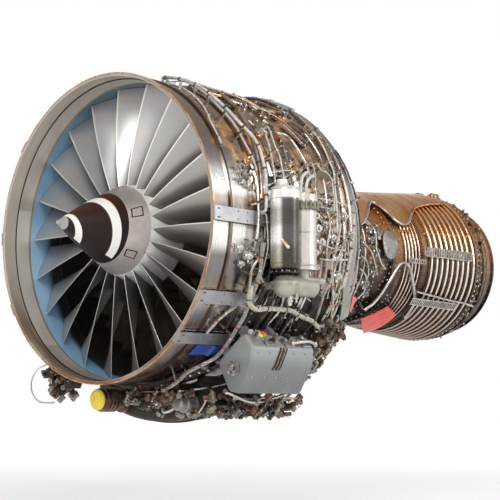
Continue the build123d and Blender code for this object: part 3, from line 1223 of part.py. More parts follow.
def make_rear_mount():
    """Three pairs of clevis ears on the exhaust case, with pins along the engine, for the rear links."""
    top = REAR_LUG_AXIS_R + REAR_LUG_EDGE
    low = EXH_FRONT_R - 4 + SEAT
    long = 2 * REAR_LUG_T + REAR_LUG_GAP
    ears = []
    for clock in REAR_LUG_CLOCKS:
        pair = Pos(0, REAR_LUG_Y, low - 4) * Box(REAR_LUG_W, long, 16)
        for side in (-1, 1):
            y = REAR_LUG_Y + side * (REAR_LUG_GAP + REAR_LUG_T) / 2
            ear = Pos(0, y, (low + top) / 2) * Box(REAR_LUG_W, REAR_LUG_T, top - low)
            pair += fillet(ear.edges().filter_by(Axis.Y).group_by(Axis.Z)[-1], REAR_LUG_EDGE - 2)
        pair -= drum_along(REAR_LUG_BORE_R, REAR_LUG_Y - long, REAR_LUG_Y + long, 0, REAR_LUG_AXIS_R)
        pair -= hoop(0, low, REAR_LUG_Y - long, REAR_LUG_Y + long)
        ears.append(Rot(0, clock, 0) * pair)
    return ears


def hot_skin(y):
    """Outside of the combustion and turbine cases under the heat shield."""
    return COMB_CASE_R if y < COMB_REAR_Y else cooled_line(y)


def shield_line(y):
    """Inner radius of the heat shield, which clears the flanges, rings and tubes."""
    return COMB_CASE_R + CORE_FLANGE_H + 24 if y < COMB_REAR_Y else cooled_line(y) + SHIELD_LIFT


def shield_edge():
    """Lower edge of the heat shield seen from the side, as (station, height)."""
    return [(1740, 150), (1786, 170), (1867, 231), (1945, 300), (2040, 340), (2100, 290), (2135, 215),
            (2200, 196),
            (2260, 215), (2347, 290), (2440, 345), (2620, 385), (2800, 410)]


def make_heat_shield():
    """Copper-toned shield over the top of the hot cases with a wavy sealed edge."""
    stations = (SHIELD_Y0, COMB_REAR_Y, HPT_REAR_Y, SHIELD_Y1)
    outer = [(shield_line(y) + SHIELD_T, y) for y in stations]
    inner = [(shield_line(y), y) for y in reversed(stations)]
    shell = turned(*outer, *inner)
    edge = shield_edge()
    keep = make_face([Spline(*edge), Polyline(edge[-1], (edge[-1][0], 700), (edge[0][0], 700), edge[0])])
    window = extrude(Plane(origin=(-700, 0, 0), x_dir=(0, 1, 0), z_dir=(1, 0, 0)) * keep, 1400)
    shield = shell & window
    between_tubes = (FINE_FIRST_Y + 1.5 * FINE_PITCH, COOL_FIRST_Y + 2.5 * COOL_PITCH,
                     COOL_FIRST_Y + 6.5 * COOL_PITCH)
    for y in (SHIELD_FOOT_Y, *between_tubes):
        y0 = y - SHIELD_FOOT_W / 2
        y1 = y + SHIELD_FOOT_W / 2
        room = turned((hot_skin(y0) + SEAT, y0), (shield_line(y0) + 1, y0), (shield_line(y1) + 1, y1),
                      (hot_skin(y1) + SEAT, y1))
        for clock in SHIELD_FOOT_CLOCKS:
            shield += room & sector_band(clock - SHIELD_FOOT_ARC / 2, clock + SHIELD_FOOT_ARC / 2)
    return shield


def saddle(radius, tube_r, clock, y):
    """Clamp block between a pipe and the case that carries it."""
    top = radius / math.cos(math.radians(WRAP_STEP / 2)) + tube_r + SADDLE_T
    block = Pos(0, y, (CASE_R + top) / 2) * Box(SADDLE_W, 2 * (tube_r + SADDLE_T), top - CASE_R)
    return Rot(0, clock, 0) * block - case_room()


def make_case_pipes():
    """Air and oil pipes, and harness conduits, that run over the fan case on clamp blocks."""
    rib = CASE_R + RIB_H + SEAT
    flange = FLANGE_R + SEAT
    belly = FRAME_BELLY_R + SEAT
    routes = [
        (rib, 13, (-36, 470), (-14, 530), (18, 560), (42, 470), (64, 400), (82, 352)),
        (rib, 10, (97, 384), (109, 384), (112, 430)),
        (flange, 9, (52, 640), (52, 760), (66, 800), (76, 780)),
        (belly, 10, (34, 1000), (60, 1010), (84, 1000), (104, 980), (118, 990)),
        (belly, 9, (46, 1060), (72, 1066), (96, 1052), (128, 1060)),
        (belly, 8, (-100, 1020), (-60, 1030), (-20, 1010), (22, 1020)),
        (flange, 12, (-128, 740), (-96, 740), (-52, 740), (-46, 660)),
        (flange, 8, (104, 640), (104, 760), (112, 800), (124, 780)),
        (flange, 10, (146, 660), (146, 800), (152, 836), (166, 836)),
    ]
    pipes = []
    for base, tube_r, *stops in routes:
        line = base + tube_r
        tube = pipe(wrapped(line, *stops), tube_r, CASE_PIPE_BEND)
        for clock, y in (stops[0], stops[len(stops) // 2], stops[-1]):
            tube += saddle(line, tube_r, clock, y)
        pipes.append(tube)
    return pipes


def post(high, y):
    """Stand-off between a hot case and a pipe above it."""
    return drum_up(CORE_LINE_R, hot_skin(y + CORE_LINE_R) + SEAT, high, 0, y)


def make_core_pipes():
    """Pipes along the core, with the deep loop of the cooling air duct low on the side."""
    loop_r = LPT_FRONT_R + CORE_FLANGE_H + CORE_DUCT_R + 6
    loop = [(140, 1925), (134, 1962), (115, 2003), (101, 2060), (96, 2117), (99, 2184), (112, 2262), (128, 2372),
            (145, 2395)]
    duct = pipe(wrapped(loop_r, *loop), CORE_DUCT_R, 60)
    for clock, y in (loop[0], loop[-1]):
        duct += Rot(0, clock, 0) * post(loop_r, y)
    over = cooled_line(COOL_LAST_Y) + COOL_STAND_OFF + COOL_TUBE_R + CORE_LINE_GAP + CORE_LINE_R
    front = FINE_FIRST_Y + (FINE_COUNT - 1.5) * FINE_PITCH
    stops = [(over - 30, 118, front), (over - 20, 120, 2500), (over - 6, 121.5, 2700),
             (over, 122, COOL_LAST_Y - 20), (over, 124, 2960)]
    line = pipe([at_clock(*stop) for stop in stops], CORE_LINE_R, 200)
    line += Rot(0, stops[0][1], 0) * post(stops[0][0], front)
    return [duct, line]


def make_shaft():
    mid = (DISC_FRONT_Y + DISC_REAR_Y) / 2
    return turned((LP_SHAFT_BORE_R, mid - 80), (DISC_BORE_R - SHAFT_FIT, mid - 80),
                  (DISC_BORE_R - SHAFT_FIT, mid + 70 + SEAT),
                  (DISC_HUB_R, mid + 70 + SEAT), (DISC_HUB_R, mid + 84), (DISC_BORE_R + 4, mid + 96),
                  (LP_SHAFT_R, LP_FRONT_BEARING_Y - 40), (LP_SHAFT_R, LP_SHAFT_REAR_Y),
                  (LP_SHAFT_BORE_R, LP_SHAFT_REAR_Y))


def main():
    save("fan_blades", make_fan_blades())
    save("annulus_fillers", make_annulus_fillers())
    save("fan_disc", make_fan_disc())
    skin, nose = make_spinner()
    save("spinner", skin)
    save("spinner_tip", nose)
    save("annulus_fairing", make_annulus_fairing())
    drum, case, guides = make_booster()
    save("booster_rotor", drum)
    save("booster_case", case)
    save("inlet_guide_vanes", guides)
    save("low_pressure_shaft", make_shaft())
    front_in, front_out, front_r = bearing(LP_SHAFT_R, LP_FRONT_BEARING_Y)
    mid_in, mid_out, mid_r = bearing(LP_SHAFT_R, LP_MID_BEARING_Y)
    rear_in, rear_out, rear_r = bearing(LP_SHAFT_R, LP_REAR_BEARING_Y)
    hp_in, hp_out, hp_r = bearing(HP_SHAFT_R - HP_STUB_STEP, HP_FRONT_BEARING_Y)
    aft_in, aft_out, aft_r = bearing(HP_SHAFT_R, HP_REAR_BEARING_Y)
    save("low_pressure_bearing_races", front_in, mid_in, rear_in)
    save("high_pressure_bearing_races", hp_in, aft_in)
    save("outer_bearing_races", front_out, mid_out, rear_out, hp_out, aft_out)
    save("bearing_housing", make_bearing_housing(front_r, mid_r, hp_r))
    save("fan_case", make_fan_case())
    front, strip, rear = make_liners()
    save("acoustic_liners", front, rear)
    save("rub_strip", strip)
    save("case_straps", make_straps())
    ring, hub, struts = make_frame()
    save("frame_ring", ring)
    save("frame_hub", hub)
    save("frame_struts", struts)
    save("outlet_guide_vanes", make_guide_vanes())
    save("splitter", make_splitter())
    drum, front, back = make_hp_compressor()
    save("high_pressure_compressor_rotor", drum)
    save("compressor_case_front", front)
    save("compressor_case_rear", back + make_bleed_ring())
    case, liner, nozzles, manifold = make_combustor()
    save("combustion_case", case)
    save("combustor_liner", liner)
    save("fuel_nozzles", nozzles, manifold)
    save("combustor_inner_case", make_inner_case(aft_r))
    hpt, lpt, drum, blades = make_turbine_cases()
    save("high_pressure_turbine_case", hpt)
    save("low_pressure_turbine_case", lpt)
    save("low_pressure_turbine_rotor", drum, blades)
    save("high_pressure_turbine_rotor", make_hp_turbine())
    case, hub, struts, cover = make_exhaust(rear_r)
    save("exhaust_case", case)
    save("exhaust_hub", hub)
    save("exhaust_struts", struts)
    save("rear_bearing_cover", cover)
    save("cooling_tubes", make_cooling_tubes())
    save("heat_shield", make_heat_shield())
    save("gearbox", make_gearbox())
    body, cap = make_starter()
    save("starter", body)
    save("starter_cap", cap)
    front = GEARBOX_Y0 - SEAT
    rear = GEARBOX_Y1 + SEAT
    centre_r = (GEARBOX_IN_R + GEARBOX_OUT_R) / 2
    save("fuel_pump", make_pump(FUEL_PUMP_R, FUEL_PUMP_Y0, front, FUEL_PUMP_AXIS_R, FUEL_PUMP_CLOCK))
    save("hydraulic_pump", make_pump(HYD_PUMP_R, rear, HYD_PUMP_Y1, HYD_PUMP_AXIS_R, HYD_PUMP_CLOCK))
    save("oil_pump", make_pump(OIL_PUMP_R, rear, OIL_PUMP_Y1, centre_r, OIL_PUMP_CLOCK))
    save("generator", make_pump(GENERATOR_R, rear, GENERATOR_Y1, centre_r, GENERATOR_CLOCK, 0.9))
    save("oil_tank", make_oil_tank())
    save("oil_filler_cap", make_filler_cap())
    save("heat_exchanger", make_cooler())
    save("air_canister", make_canister())
    save("filter_housing", make_filter())
    save("control_box", make_control_box())
    save("front_mount", make_front_mount())
    save("rear_mount", make_rear_mount())
    main_pipe, *other_pipes = make_case_pipes()
    save("main_air_pipe", main_pipe)
    save("case_pipes", other_pipes)
    save("core_pipes", make_core_pipes())


main()
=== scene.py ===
"""Jet engine: finishes, fasteners, pipework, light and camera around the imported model. Metres."""

import math
import random

import bmesh
import bpy
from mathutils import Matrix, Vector
from mathutils.bvhtree import BVHTree


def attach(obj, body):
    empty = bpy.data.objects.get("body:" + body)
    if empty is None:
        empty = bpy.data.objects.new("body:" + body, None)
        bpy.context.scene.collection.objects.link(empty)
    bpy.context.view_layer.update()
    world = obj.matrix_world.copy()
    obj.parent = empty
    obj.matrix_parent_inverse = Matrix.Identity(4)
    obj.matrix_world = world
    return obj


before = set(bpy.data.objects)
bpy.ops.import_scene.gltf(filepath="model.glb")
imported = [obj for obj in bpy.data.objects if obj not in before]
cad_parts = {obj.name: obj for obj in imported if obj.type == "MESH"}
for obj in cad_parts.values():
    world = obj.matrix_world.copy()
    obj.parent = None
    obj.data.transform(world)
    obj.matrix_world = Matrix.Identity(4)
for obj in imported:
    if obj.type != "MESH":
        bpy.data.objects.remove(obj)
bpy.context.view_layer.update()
dice = random.Random(63)

# Camera, fitted to the photograph
CAMERA_PLACE = (5.4588, -4.8501, -.9454)
CAMERA_TARGET = (.318, .843, -.074)
CAMERA_FOCAL = 98.58

# Radii of the fan case, its front flange and the frame ring behind it
CASE_R = .824
FLANGE_R = .838
BELLY_R = .858

# Radii that count where a ray finds no surface: core in general, its middle, the pin band, the exhaust
CORE_R = .36
MID_CORE_R = .4
PIN_BAND_R = .43
EXHAUST_R = .486

# Height of the floor and how far it reaches
FLOOR_Z = -1.62
FLOOR_REACH = 60

# Start of the rays; radius at which (clock, station) stops are laid flat, and the step along them
FAR_OUT = 2
UNROLL_R = .86
STEP = .014

# Bends of pipes, of harnesses and of pipe ends that dive to the skin
PIPE_BEND = .04
HARNESS_BEND = .05
DIVE_BEND = .016

# Middle of each bolted strap of the fan case
STRAP_CLOCKS = (89.7, 118.8, 136, -52, -89.7, -118.8)

# Brightness of the sky at shares of its height
SKY = ((0, 1), (.3, 1), (.42, .62), (.62, .3), (.85, .42), (1, .6))

# Bolt rings: where the flange is looked for, which way, its bolt circle, how many and how large
FLANGES = ((.6, 1, .8335, 72, .0052), (.8, -1, .8335, 72, .0052), (1.3, -1, .815, 72, .0055))
CORE_FLANGES = ((1.4, 1, .296, 36, .0045), (1.6, 1, .33, 36, .0045), (2, 1, .402, 60, .005))


def set_stops(band, stops):
    """Colours of a ramp at given shares; each stop is (share, red, green, blue)."""
    while len(band.elements) < len(stops):
        band.elements.new(.5)
    for element, (share, *colour) in zip(band.elements, sorted(stops)):
        element.position = share
        element.color = (*colour, 1)


class Graph:
    """Short hand for building the nodes of one material."""

    def __init__(self, name, metallic=1, **constants):
        self.material = bpy.data.materials.new(name)
        self.material.use_nodes = True
        self.tree = self.material.node_tree
        self.shader = self.tree.nodes["Principled BSDF"]
        for socket, value in {"Metallic": metallic, **constants}.items():
            self.give(socket.replace("_", " "), value)
        self.place = self.node("TexCoord").outputs["Object"]
        self.x, self.y, self.z = self.node("SeparateXYZ", {0: self.place}).outputs

    def link(self, source, target):
        """Feed a socket with another socket, a number or a colour."""
        if isinstance(source, bpy.types.NodeSocket):
            self.tree.links.new(source, target)
        else:
            target.default_value = (*source, 1) if isinstance(source, tuple) else source

    def give(self, socket, source):
        self.link(source, self.shader.inputs[socket])

    def node(self, kind, inputs=(), **settings):
        made = self.tree.nodes.new("ShaderNode" + kind)
        for name, value in settings.items():
            setattr(made, name, value)
        for socket, source in dict(inputs).items():
            self.link(source, made.inputs[socket])
        return made

    def calc(self, operation, *values):
        return self.node("Math", enumerate(values), operation=operation).outputs[0]

    def plus(self, *values):
        return self.calc("ADD", *values)

    def minus(self, *values):
        return self.calc("SUBTRACT", *values)

    def times(self, *values):
        return self.calc("MULTIPLY", *values)

    def length(self, x, y):
        return self.calc("SQRT", self.plus(self.calc("POWER", x, 2), self.calc("POWER", y, 2)))

    def radius(self):
        return self.length(self.x, self.z)

    def clock(self):
        """Clock angle over 360, from 0 at twelve o'clock towards +X."""
        turn = self.calc("DIVIDE", self.calc("ARCTAN2", self.x, self.z), 2 * math.pi)
        return self.calc("FRACT", self.plus(turn, 1))

    def vector(self, x, y, z):
        return self.node("CombineXYZ", enumerate((x, y, z))).outputs[0]

    def stretched(self, across, along, out):
        """Coordinates scaled apart round the axis, along it and away from it."""
        turn = self.calc("ARCTAN2", self.x, self.z)
        return self.vector(self.times(turn, across), self.times(self.y, along),
            self.times(self.radius(), out))

    def glints(self, clock, low, high):
        """Painted warm highlights scattered over a span of clock angles."""
        patches = self.noise(self.stretched(7, 6, 1), 1, 3, .55)
        return self.times(self.within(clock, low, high, .012), self.span(patches, .5, .6))

    def noise(self, place, scale=1, detail=3, roughness=.55):
        inputs = {"Vector": place, "Scale": scale, "Detail": detail, "Roughness": roughness}
        return self.node("TexNoise", inputs).outputs["Fac"]

    def ramp(self, value, *stops):
        made = self.node("ValToRGB", {0: value})
        set_stops(made.color_ramp, stops)
        return made.outputs[0]

    def span(self, value, low, high, to_low=0, to_high=1):
        """Value between two marks, smoothed and held at the ends."""
        inputs = {"Value": value, "From Min": low, "From Max": high, "To Min": to_low, "To Max": to_high}
        return self.node("MapRange", inputs, interpolation_type="SMOOTHSTEP").outputs["Result"]

    def within(self, value, low, high, soft):
        """1 between two marks and 0 outside them."""
        rise = self.span(value, low - soft, low + soft)
        return self.times(rise, self.span(value, high - soft, high + soft, 1, 0))

    def blend(self, share, first, second):
        inputs = {"Factor": share, "A": first, "B": second}
        return self.node("Mix", inputs, data_type="RGBA").outputs["Result"]

    def bump(self, height, depth, strength=.6):
        made = self.node("Bump", {"Distance": depth, "Strength": strength, "Height": height})
        self.give("Normal", made.outputs[0])

    def finish(self, colour, fine, low, high, height, depth, strength=.6):
        """Material with this colour, a roughness from low to high after a fine noise, and bumps."""
        self.give("Base Color", colour)
        self.give("Roughness", self.span(fine, .3, .7, low, high))
        self.bump(height, depth, strength)
        return self.material


def tinted(name, dark, light, smooth, rough, metallic, scale, grain):
    """Mottled finish that all plain castings, tubes and brackets share."""
    g = Graph(name, metallic)
    tone = g.ramp(g.noise(g.place, scale, 5, .6), (.32, *dark), (.66, *light))
    return g.finish(tone, g.noise(g.place, 60, 4, .65), smooth, rough, g.noise(g.place, 240, 3, .6), grain)


def polished_case():
    """Turned titanium of the fan case, toned round the clock as the hall reflects in it."""
    g = Graph("polished_case", 1)
    clock = g.clock()
    tone = g.ramp(clock, (0, .3, .2, .15), (.07, .44, .32, .25), (.115, .5, .36, .25), (.163, .46, .34, .26),
        (.18, .5, .43, .38), (.194, .6, .57, .55), (.203, .98, .97, .96), (.222, .96, .95, .94),
        (.231, .36, .315, .28), (.243, .155, .12, .1), (.255, .3, .27, .25), (.263, 1, .99, .97),
        (.279, .92, .91, .9), (.288, .2, .205, .21), (.3, .155, .16, .17), (.318, .19, .165, .13),
        (.334, .42, .41, .39), (.35, .3, .29, .3), (.4, .18, .14, .12), (.5, .13, .085, .065),
        (.75, .44, .41, .39), (.9, .4, .3, .24), (1, .3, .2, .15))
    streaks = g.noise(g.stretched(1.2, 46, 1), 1, 6, .7)
    tone = g.blend(g.span(streaks, .38, .7, 0, .45), tone, (.3, .24, .22))
    stain = g.noise(g.place, 7, 5, .62)
    tone = g.blend(g.span(stain, .52, .74, 0, .4), tone, (.5, .32, .22))
    # Painted warm highlights over the upper case
    tone = g.blend(g.glints(clock, .138, .19), tone, (1, .62, .3))
    for low, high in ((.131, .149), (.326, .344), (.496, .508)):
        tone = g.blend(g.times(g.within(g.y, low, high, .0015), .85), tone, (.13, .08, .055))
    inside = g.span(g.radius(), CASE_R - .002, CASE_R - .0006)
    # Inner lip toned round the clock: painted shade makes it dark brown below and on the lower right, painted
    # reflection makes it paler on the left.
    lip = g.ramp(clock, (0, .4, .35, .29), (.45, .2, .12, .07), (.56, .2, .115, .065), (.64, .22, .15, .1),
        (.72, .52, .47, .4), (1, .4, .35, .29))
    lip = g.blend(g.span(g.noise(g.stretched(2, 20, 1), 1.5, 4), .4, .7, 0, .5), lip, (.56, .5, .42))
    tone = g.blend(inside, lip, tone)
    face = g.within(g.y, -.004, .0015, .0006)
    rim = g.ramp(g.noise(g.stretched(9, 1, 1), 1, 3), (.35, .3, .14, .07), (.6, .72, .38, .18),
        (.72, .9, .66, .44))
    outer = g.span(g.radius(), FLANGE_R - .006, FLANGE_R - .004)
    tone = g.blend(face, tone, g.blend(outer, lip, rim))
    outside = g.minus(1, inside)
    joint = g.times(g.within(g.y, .0765, .08, .0006), outside)
    g.give("Base Color", g.blend(joint, tone, (.02, .018, .015)))
    g.give("Roughness", g.plus(g.span(streaks, .3, .7, .14, .3), g.times(outside, .22)))
    g.give("Metallic", g.span(inside, 0, 1, .3, 1))
    g.bump(g.noise(g.stretched(1, 300, 1), 1, 3), .0006, .35)
    return g.material


def copper_belly():
    """Warm brown rear frame ring, toned round the clock as a painted reflection that is darker below, with
    painted golden highlights.
    """
    g = Graph("copper_belly", 1)
    # Painted reflection round the clock, darker below
    tone = g.ramp(g.clock(), (0, .4, .28, .2), (.08, .66, .44, .28), (.12, .66, .46, .31),
        (.17, .5, .36, .27), (.23, .66, .5, .38), (.3, .48, .38, .33), (.4, .34, .27, .24),
        (.55, .28, .23, .21), (.8, .44, .36, .31), (1, .4, .28, .2))
    streaks = g.noise(g.stretched(1.5, 34, 1), 1, 6, .7)
    tone = g.blend(g.span(streaks, .35, .7, 0, .5), tone, (.24, .19, .17))
    # Painted golden highlights
    tone = g.blend(g.glints(g.clock(), .115, .172), tone, (1, .66, .36))
    satin = g.ramp(streaks, (.35, .46, .44, .44), (.65, .28, .26, .26))
    return g.finish(g.blend(g.span(g.y, 1.075, 1.1), tone, satin), streaks, .2, .4, g.noise(g.place, 90, 4),
        .0008, .3)


def intake_liner():
    """Warm grey acoustic lining, perforated too finely to see one by one, with one panel painted paler as a
    reflection, a painted shadow line and painted shade deep behind the fan.
    """
    g = Graph("intake_liner", .35)
    sweep = g.noise(g.stretched(1.6, 5, 1), 1.4, 3)
    tone = g.ramp(sweep, (.3, .36, .33, .28), (.55, .47, .44, .38), (.75, .56, .53, .47))
    # One panel on the lower left painted paler, a painted reflection
    panel = g.within(g.clock(), .615, .785, .0015)
    tone = g.blend(g.times(panel, .7), tone, (.68, .66, .6))
    tone = g.blend(g.within(g.y, .074, .08, .0006), tone, (.02, .018, .015))
    # Painted shadow: brown line at the step before the blue strip
    tone = g.blend(g.times(g.within(g.y, .168, .19, .004), .75), tone, (.24, .15, .08))
    # Painted shade deep in the duct behind the fan
    tone = g.blend(g.span(g.y, .36, .42), tone, (.035, .028, .022))
    holes = g.node("TexVoronoi", {"Vector": g.stretched(150, 180, 0), "Scale": 1}).outputs["Distance"]
    tone = g.blend(g.span(holes, .1, .35, .25, 0), tone, (.16, .14, .12))
    return g.finish(tone, sweep, .36, .5, holes, .0004, .4)


def blue_strip():
    """Pale to deep blue abradable strip opposite the blade tips, its tone round the clock painted shade: near
    black at the top, palest on the left.
    """
    g = Graph("blue_strip", 0)
    wave = g.noise(g.stretched(2, 3, 1), 1.2, 3)
    # Painted shade round the clock: near black at the top, palest on the left
    tone = g.ramp(g.clock(), (0, .07, .12, .15), (.58, .19, .37, .56), (.72, .27, .46, .66),
        (.84, .1, .23, .37), (.93, .06, .13, .18), (1, .07, .12, .15))
    tone = g.blend(g.span(wave, .4, .7, 0, .3), tone, (.4, .57, .74))
    # Painted shade deep in the duct behind the blades
    tone = g.blend(g.span(g.y, .285, .345), tone, (.012, .014, .018))
    rub = g.noise(g.stretched(3, 240, 1), 1, 5)
    return g.finish(g.blend(g.span(rub, .5, .72, 0, .18), tone, (.5, .62, .66)), rub, .42, .6, rub, .0006, .4)


def blade_metal():
    """Satin titanium fan blades with fine marks across the chord, painted shade on the right and lower right,
    towards the roots and aft, and a thin painted highlight along the leading edges.
    """
    g = Graph("blade_metal", .75)
    r = g.radius()
    share = g.calc("DIVIDE", g.minus(r, .231), .5845)
    lead = g.plus(.152, g.times(g.calc("POWER", g.calc("MAXIMUM", share, .001), 1.8), .06))
    back = g.minus(g.y, lead)
    marks = g.noise(g.place, 3, 2, .4)
    rings = g.noise(g.vector(0, 0, g.times(r, 130)), 1, 3, .6)
    tone = g.ramp(marks, (.3, .34, .34, .35), (.7, .5, .5, .51))
    # Painted shade and reflection round the clock: dark brown on the right and lower right
    painted_shade = g.ramp(g.clock(), (0, .5, .49, .48), (.2, .36, .32, .28), (.3, .17, .12, .08),
        (.42, .12, .08, .05), (.54, .14, .1, .07), (.62, .36, .35, .34), (.75, .5, .5, .51),
        (.9, .48, .48, .49), (1, .5, .49, .48))
    tone = g.blend(.65, tone, painted_shade)
    tone = g.blend(g.span(rings, .4, .7, 0, .12), tone, (.74, .73, .72))
    # Painted shade towards the roots
    tone = g.blend(g.span(r, .24, .4, .5, 0), tone, (.16, .14, .12))
    # Painted shade over the aft part of each blade
    tone = g.blend(g.span(back, .1, .17, 0, .45), tone, (.1, .09, .08))
    # Painted highlight along the leading edge
    edge = g.span(back, .0012, .004, 1, 0)
    return g.finish(g.blend(edge, tone, (.86, .84, .78)), marks, .36, .44, rings, .0004, .15)


def swirl_paint():
    """Near-black brown spinner with two white bands that wind from above round to below."""
    g = Graph("swirl_paint", 0, Specular_IOR_Level=.25)
    turn = g.calc("FRACT", g.plus(g.clock(), .2))
    square = g.times(turn, turn)
    haze = g.noise(g.place, 14, 4)
    tone = g.ramp(haze, (.3, .007, .003, .002), (.7, .02, .008, .006))
    tone = g.blend(g.times(g.within(turn, .02, .34, .06), .5), tone, (.075, .022, .011))
    bands = (((-.2593, 0, .153), (-.2388, 0, .196), .7), ((-.128, .175, 0), (-.066, .14, 0), .64))
    for *edges, last in bands:
        into, beyond = (g.minus(g.y, g.plus(g.plus(start, g.times(turn, slope)), g.times(square, bow)))
            for start, slope, bow in edges)
        ends = g.within(turn, .035, last, .0015)
        amber = g.times(g.within(into, -.004, 0, .0008), ends)
        past = g.times(g.times(g.within(beyond, 0, .005, .001), ends), g.span(turn, .3, .42, 1, 0))
        tone = g.blend(g.times(amber, .4), tone, (.16, .06, .02))
        tone = g.blend(past, tone, (.5, .22, .07))
        white = g.times(g.span(into, -.0008, .0008), g.span(beyond, -.0008, .0008, 1, 0))
        tone = g.blend(g.times(white, ends), tone, (.84, .83, .8))
    return g.finish(tone, haze, .38, .48, g.noise(g.place, 180, 2), .0002, .2)


def heat_shield_copper():
    """Heat-tinted shield, orange to brown with bright streaks round the engine."""
    g = Graph("heat_shield_copper", 1)
    lines = g.noise(g.stretched(4, 55, 1), 1, 4, .6)
    clouds = g.noise(g.place, 5, 4)
    tone = g.ramp(clouds, (.3, .72, .28, .085), (.5, .97, .46, .17), (.72, 1, .68, .34))
    tone = g.blend(g.span(lines, .5, .64, 0, .6), tone, (.34, .15, .07))
    tone = g.blend(g.span(lines, .4, .3, 0, .6), tone, (1, .76, .48))
    return g.finish(tone, lines, .18, .4, lines, .003, .5)


def ring_tube_metal():
    """Cooling tubes toned round the clock with painted reflection and shade: copper at the top, silver at mid
    height and brown below.
    """
    g = Graph("ring_tube_metal", 1)
    # Painted reflection and shade round the clock
    tone = g.ramp(g.clock(), (0, .96, .5, .21), (.12, 1, .56, .26), (.19, .96, .68, .42), (.25, .86, .8, .72),
        (.32, .64, .57, .5), (.4, .48, .39, .33), (.5, .34, .26, .21), (.75, .55, .44, .37),
        (1, .86, .46, .22))
    heat = g.noise(g.place, 16, 5, .6)
    tone = g.blend(g.span(heat, .5, .7, 0, .55), tone, (.36, .2, .12))
    return g.finish(tone, heat, .16, .36, g.noise(g.place, 120, 3), .0005, .3)


def hot_case_metal():
    """Oxidised turbine and combustion cases, toned round the clock with painted reflection and shade: orange
    above and near black below.
    """
    g = Graph("hot_case_metal", .9)
    rings = g.noise(g.stretched(2, 60, 1), 1, 5, .65)
    spots = g.noise(g.place, 24, 6, .65)
    # Painted reflection and shade round the clock: orange above, near black below
    tone = g.ramp(g.clock(), (0, .62, .28, .1), (.13, .66, .31, .11), (.2, .42, .23, .11),
        (.28, .17, .12, .08), (.33, .055, .038, .027), (.5, .035, .022, .016), (.75, .14, .1, .075),
        (1, .46, .2, .08))
    tone = g.blend(g.span(spots, .4, .7, 0, .6), tone, (.06, .038, .026))
    tone = g.blend(g.span(rings, .56, .72, 0, .45), tone, (.58, .42, .28))
    return g.finish(tone, spots, .28, .5, spots, .001, .3)


def exchanger_metal():
    """Pale cream-grey bodies of the upright vessels, soft upright sheen."""
    g = Graph("exchanger_metal", .8)
    upright = g.noise(g.vector(g.times(g.x, 60), g.times(g.y, 60), g.times(g.z, 3)), 1, 4)
    spots = g.noise(g.place, 30, 5)
    tone = g.ramp(upright, (.3, .46, .44, .39), (.7, .68, .66, .6))
    return g.finish(g.blend(g.span(spots, .55, .75, 0, .4), tone, (.4, .37, .32)), spots, .28, .44, spots,
        .0008, .25)


def canister_metal():
    """Polished upright canister with a painted white highlight in front, painted dark brown shade behind and
    towards its foot.
    """
    g = Graph("canister_metal", .45)
    spots = g.noise(g.place, 26, 5, .62)
    # Painted white highlight band across the front, darker towards the foot
    tone = g.ramp(g.span(g.z, -.25, .17), (0, .36, .32, .26), (.16, .5, .47, .42), (.24, .96, .96, .94),
        (.46, .94, .94, .92), (.56, .54, .53, .5), (.8, .46, .45, .42), (.88, .8, .79, .77))
    tone = g.blend(g.span(spots, .48, .72, 0, .45), tone, (.4, .35, .28))
    behind = g.plus(g.times(g.minus(g.x, .93), .74), g.times(g.minus(g.y, .432), .67))
    # Painted dark brown shade over the back half, below the head
    painted_shade_behind = g.times(g.span(behind, -.03, -.008), g.span(g.z, .118, .096))
    tone = g.blend(g.times(painted_shade_behind, .93), tone, (.022, .013, .008))
    for seam in (-.228, .106, .154):
        tone = g.blend(g.times(g.within(g.z, seam - .0018, seam + .0018, .0006), .8), tone, (.05, .04, .03))
    return g.finish(tone, spots, .24, .4, spots, .0008, .25)


def guide_vane_metal():
    """Dark vanes behind the fan, olive where the primer shows low on one side."""
    g = Graph("guide_vane_metal", .4)
    marks = g.noise(g.place, 8, 3)
    tone = g.ramp(marks, (.3, .075, .052, .036), (.7, .19, .15, .1))
    primer = g.ramp(marks, (.3, .8, .78, .2), (.7, .95, .95, .34))
    return g.finish(g.blend(g.within(g.clock(), .385, .475, .012), tone, primer), marks, .34, .5,
        g.noise(g.place, 120, 3), .0004, .3)


def tank_paint():
    """Neutral grey tank, darker towards the bottom, with a lighter band near its top."""
    g = Graph("tank_paint", .35)
    spots = g.noise(g.place, 6, 5, .6)
    height = g.span(g.z, -.88, -.6)
    tone = g.ramp(height, (0, .15, .16, .155), (.55, .2, .215, .215), (.78, .27, .3, .31), (1, .3, .3, .29))
    tone = g.blend(g.span(spots, .45, .72, 0, .35), tone, (.29, .28, .26))
    return g.finish(tone, spots, .36, .5, g.noise(g.place, 130, 4), .0008, .45)


def sleeve_white():
    """White heat-shrink over the harness and starter air pipes."""
    g = Graph("sleeve_white", 0)
    spots = g.noise(g.place, 40, 4)
    return g.finish(g.ramp(spots, (.3, .42, .41, .38), (.65, .68, .67, .64)), spots, .34, .52,
        g.noise(g.place, 420, 2), .0006, .4)


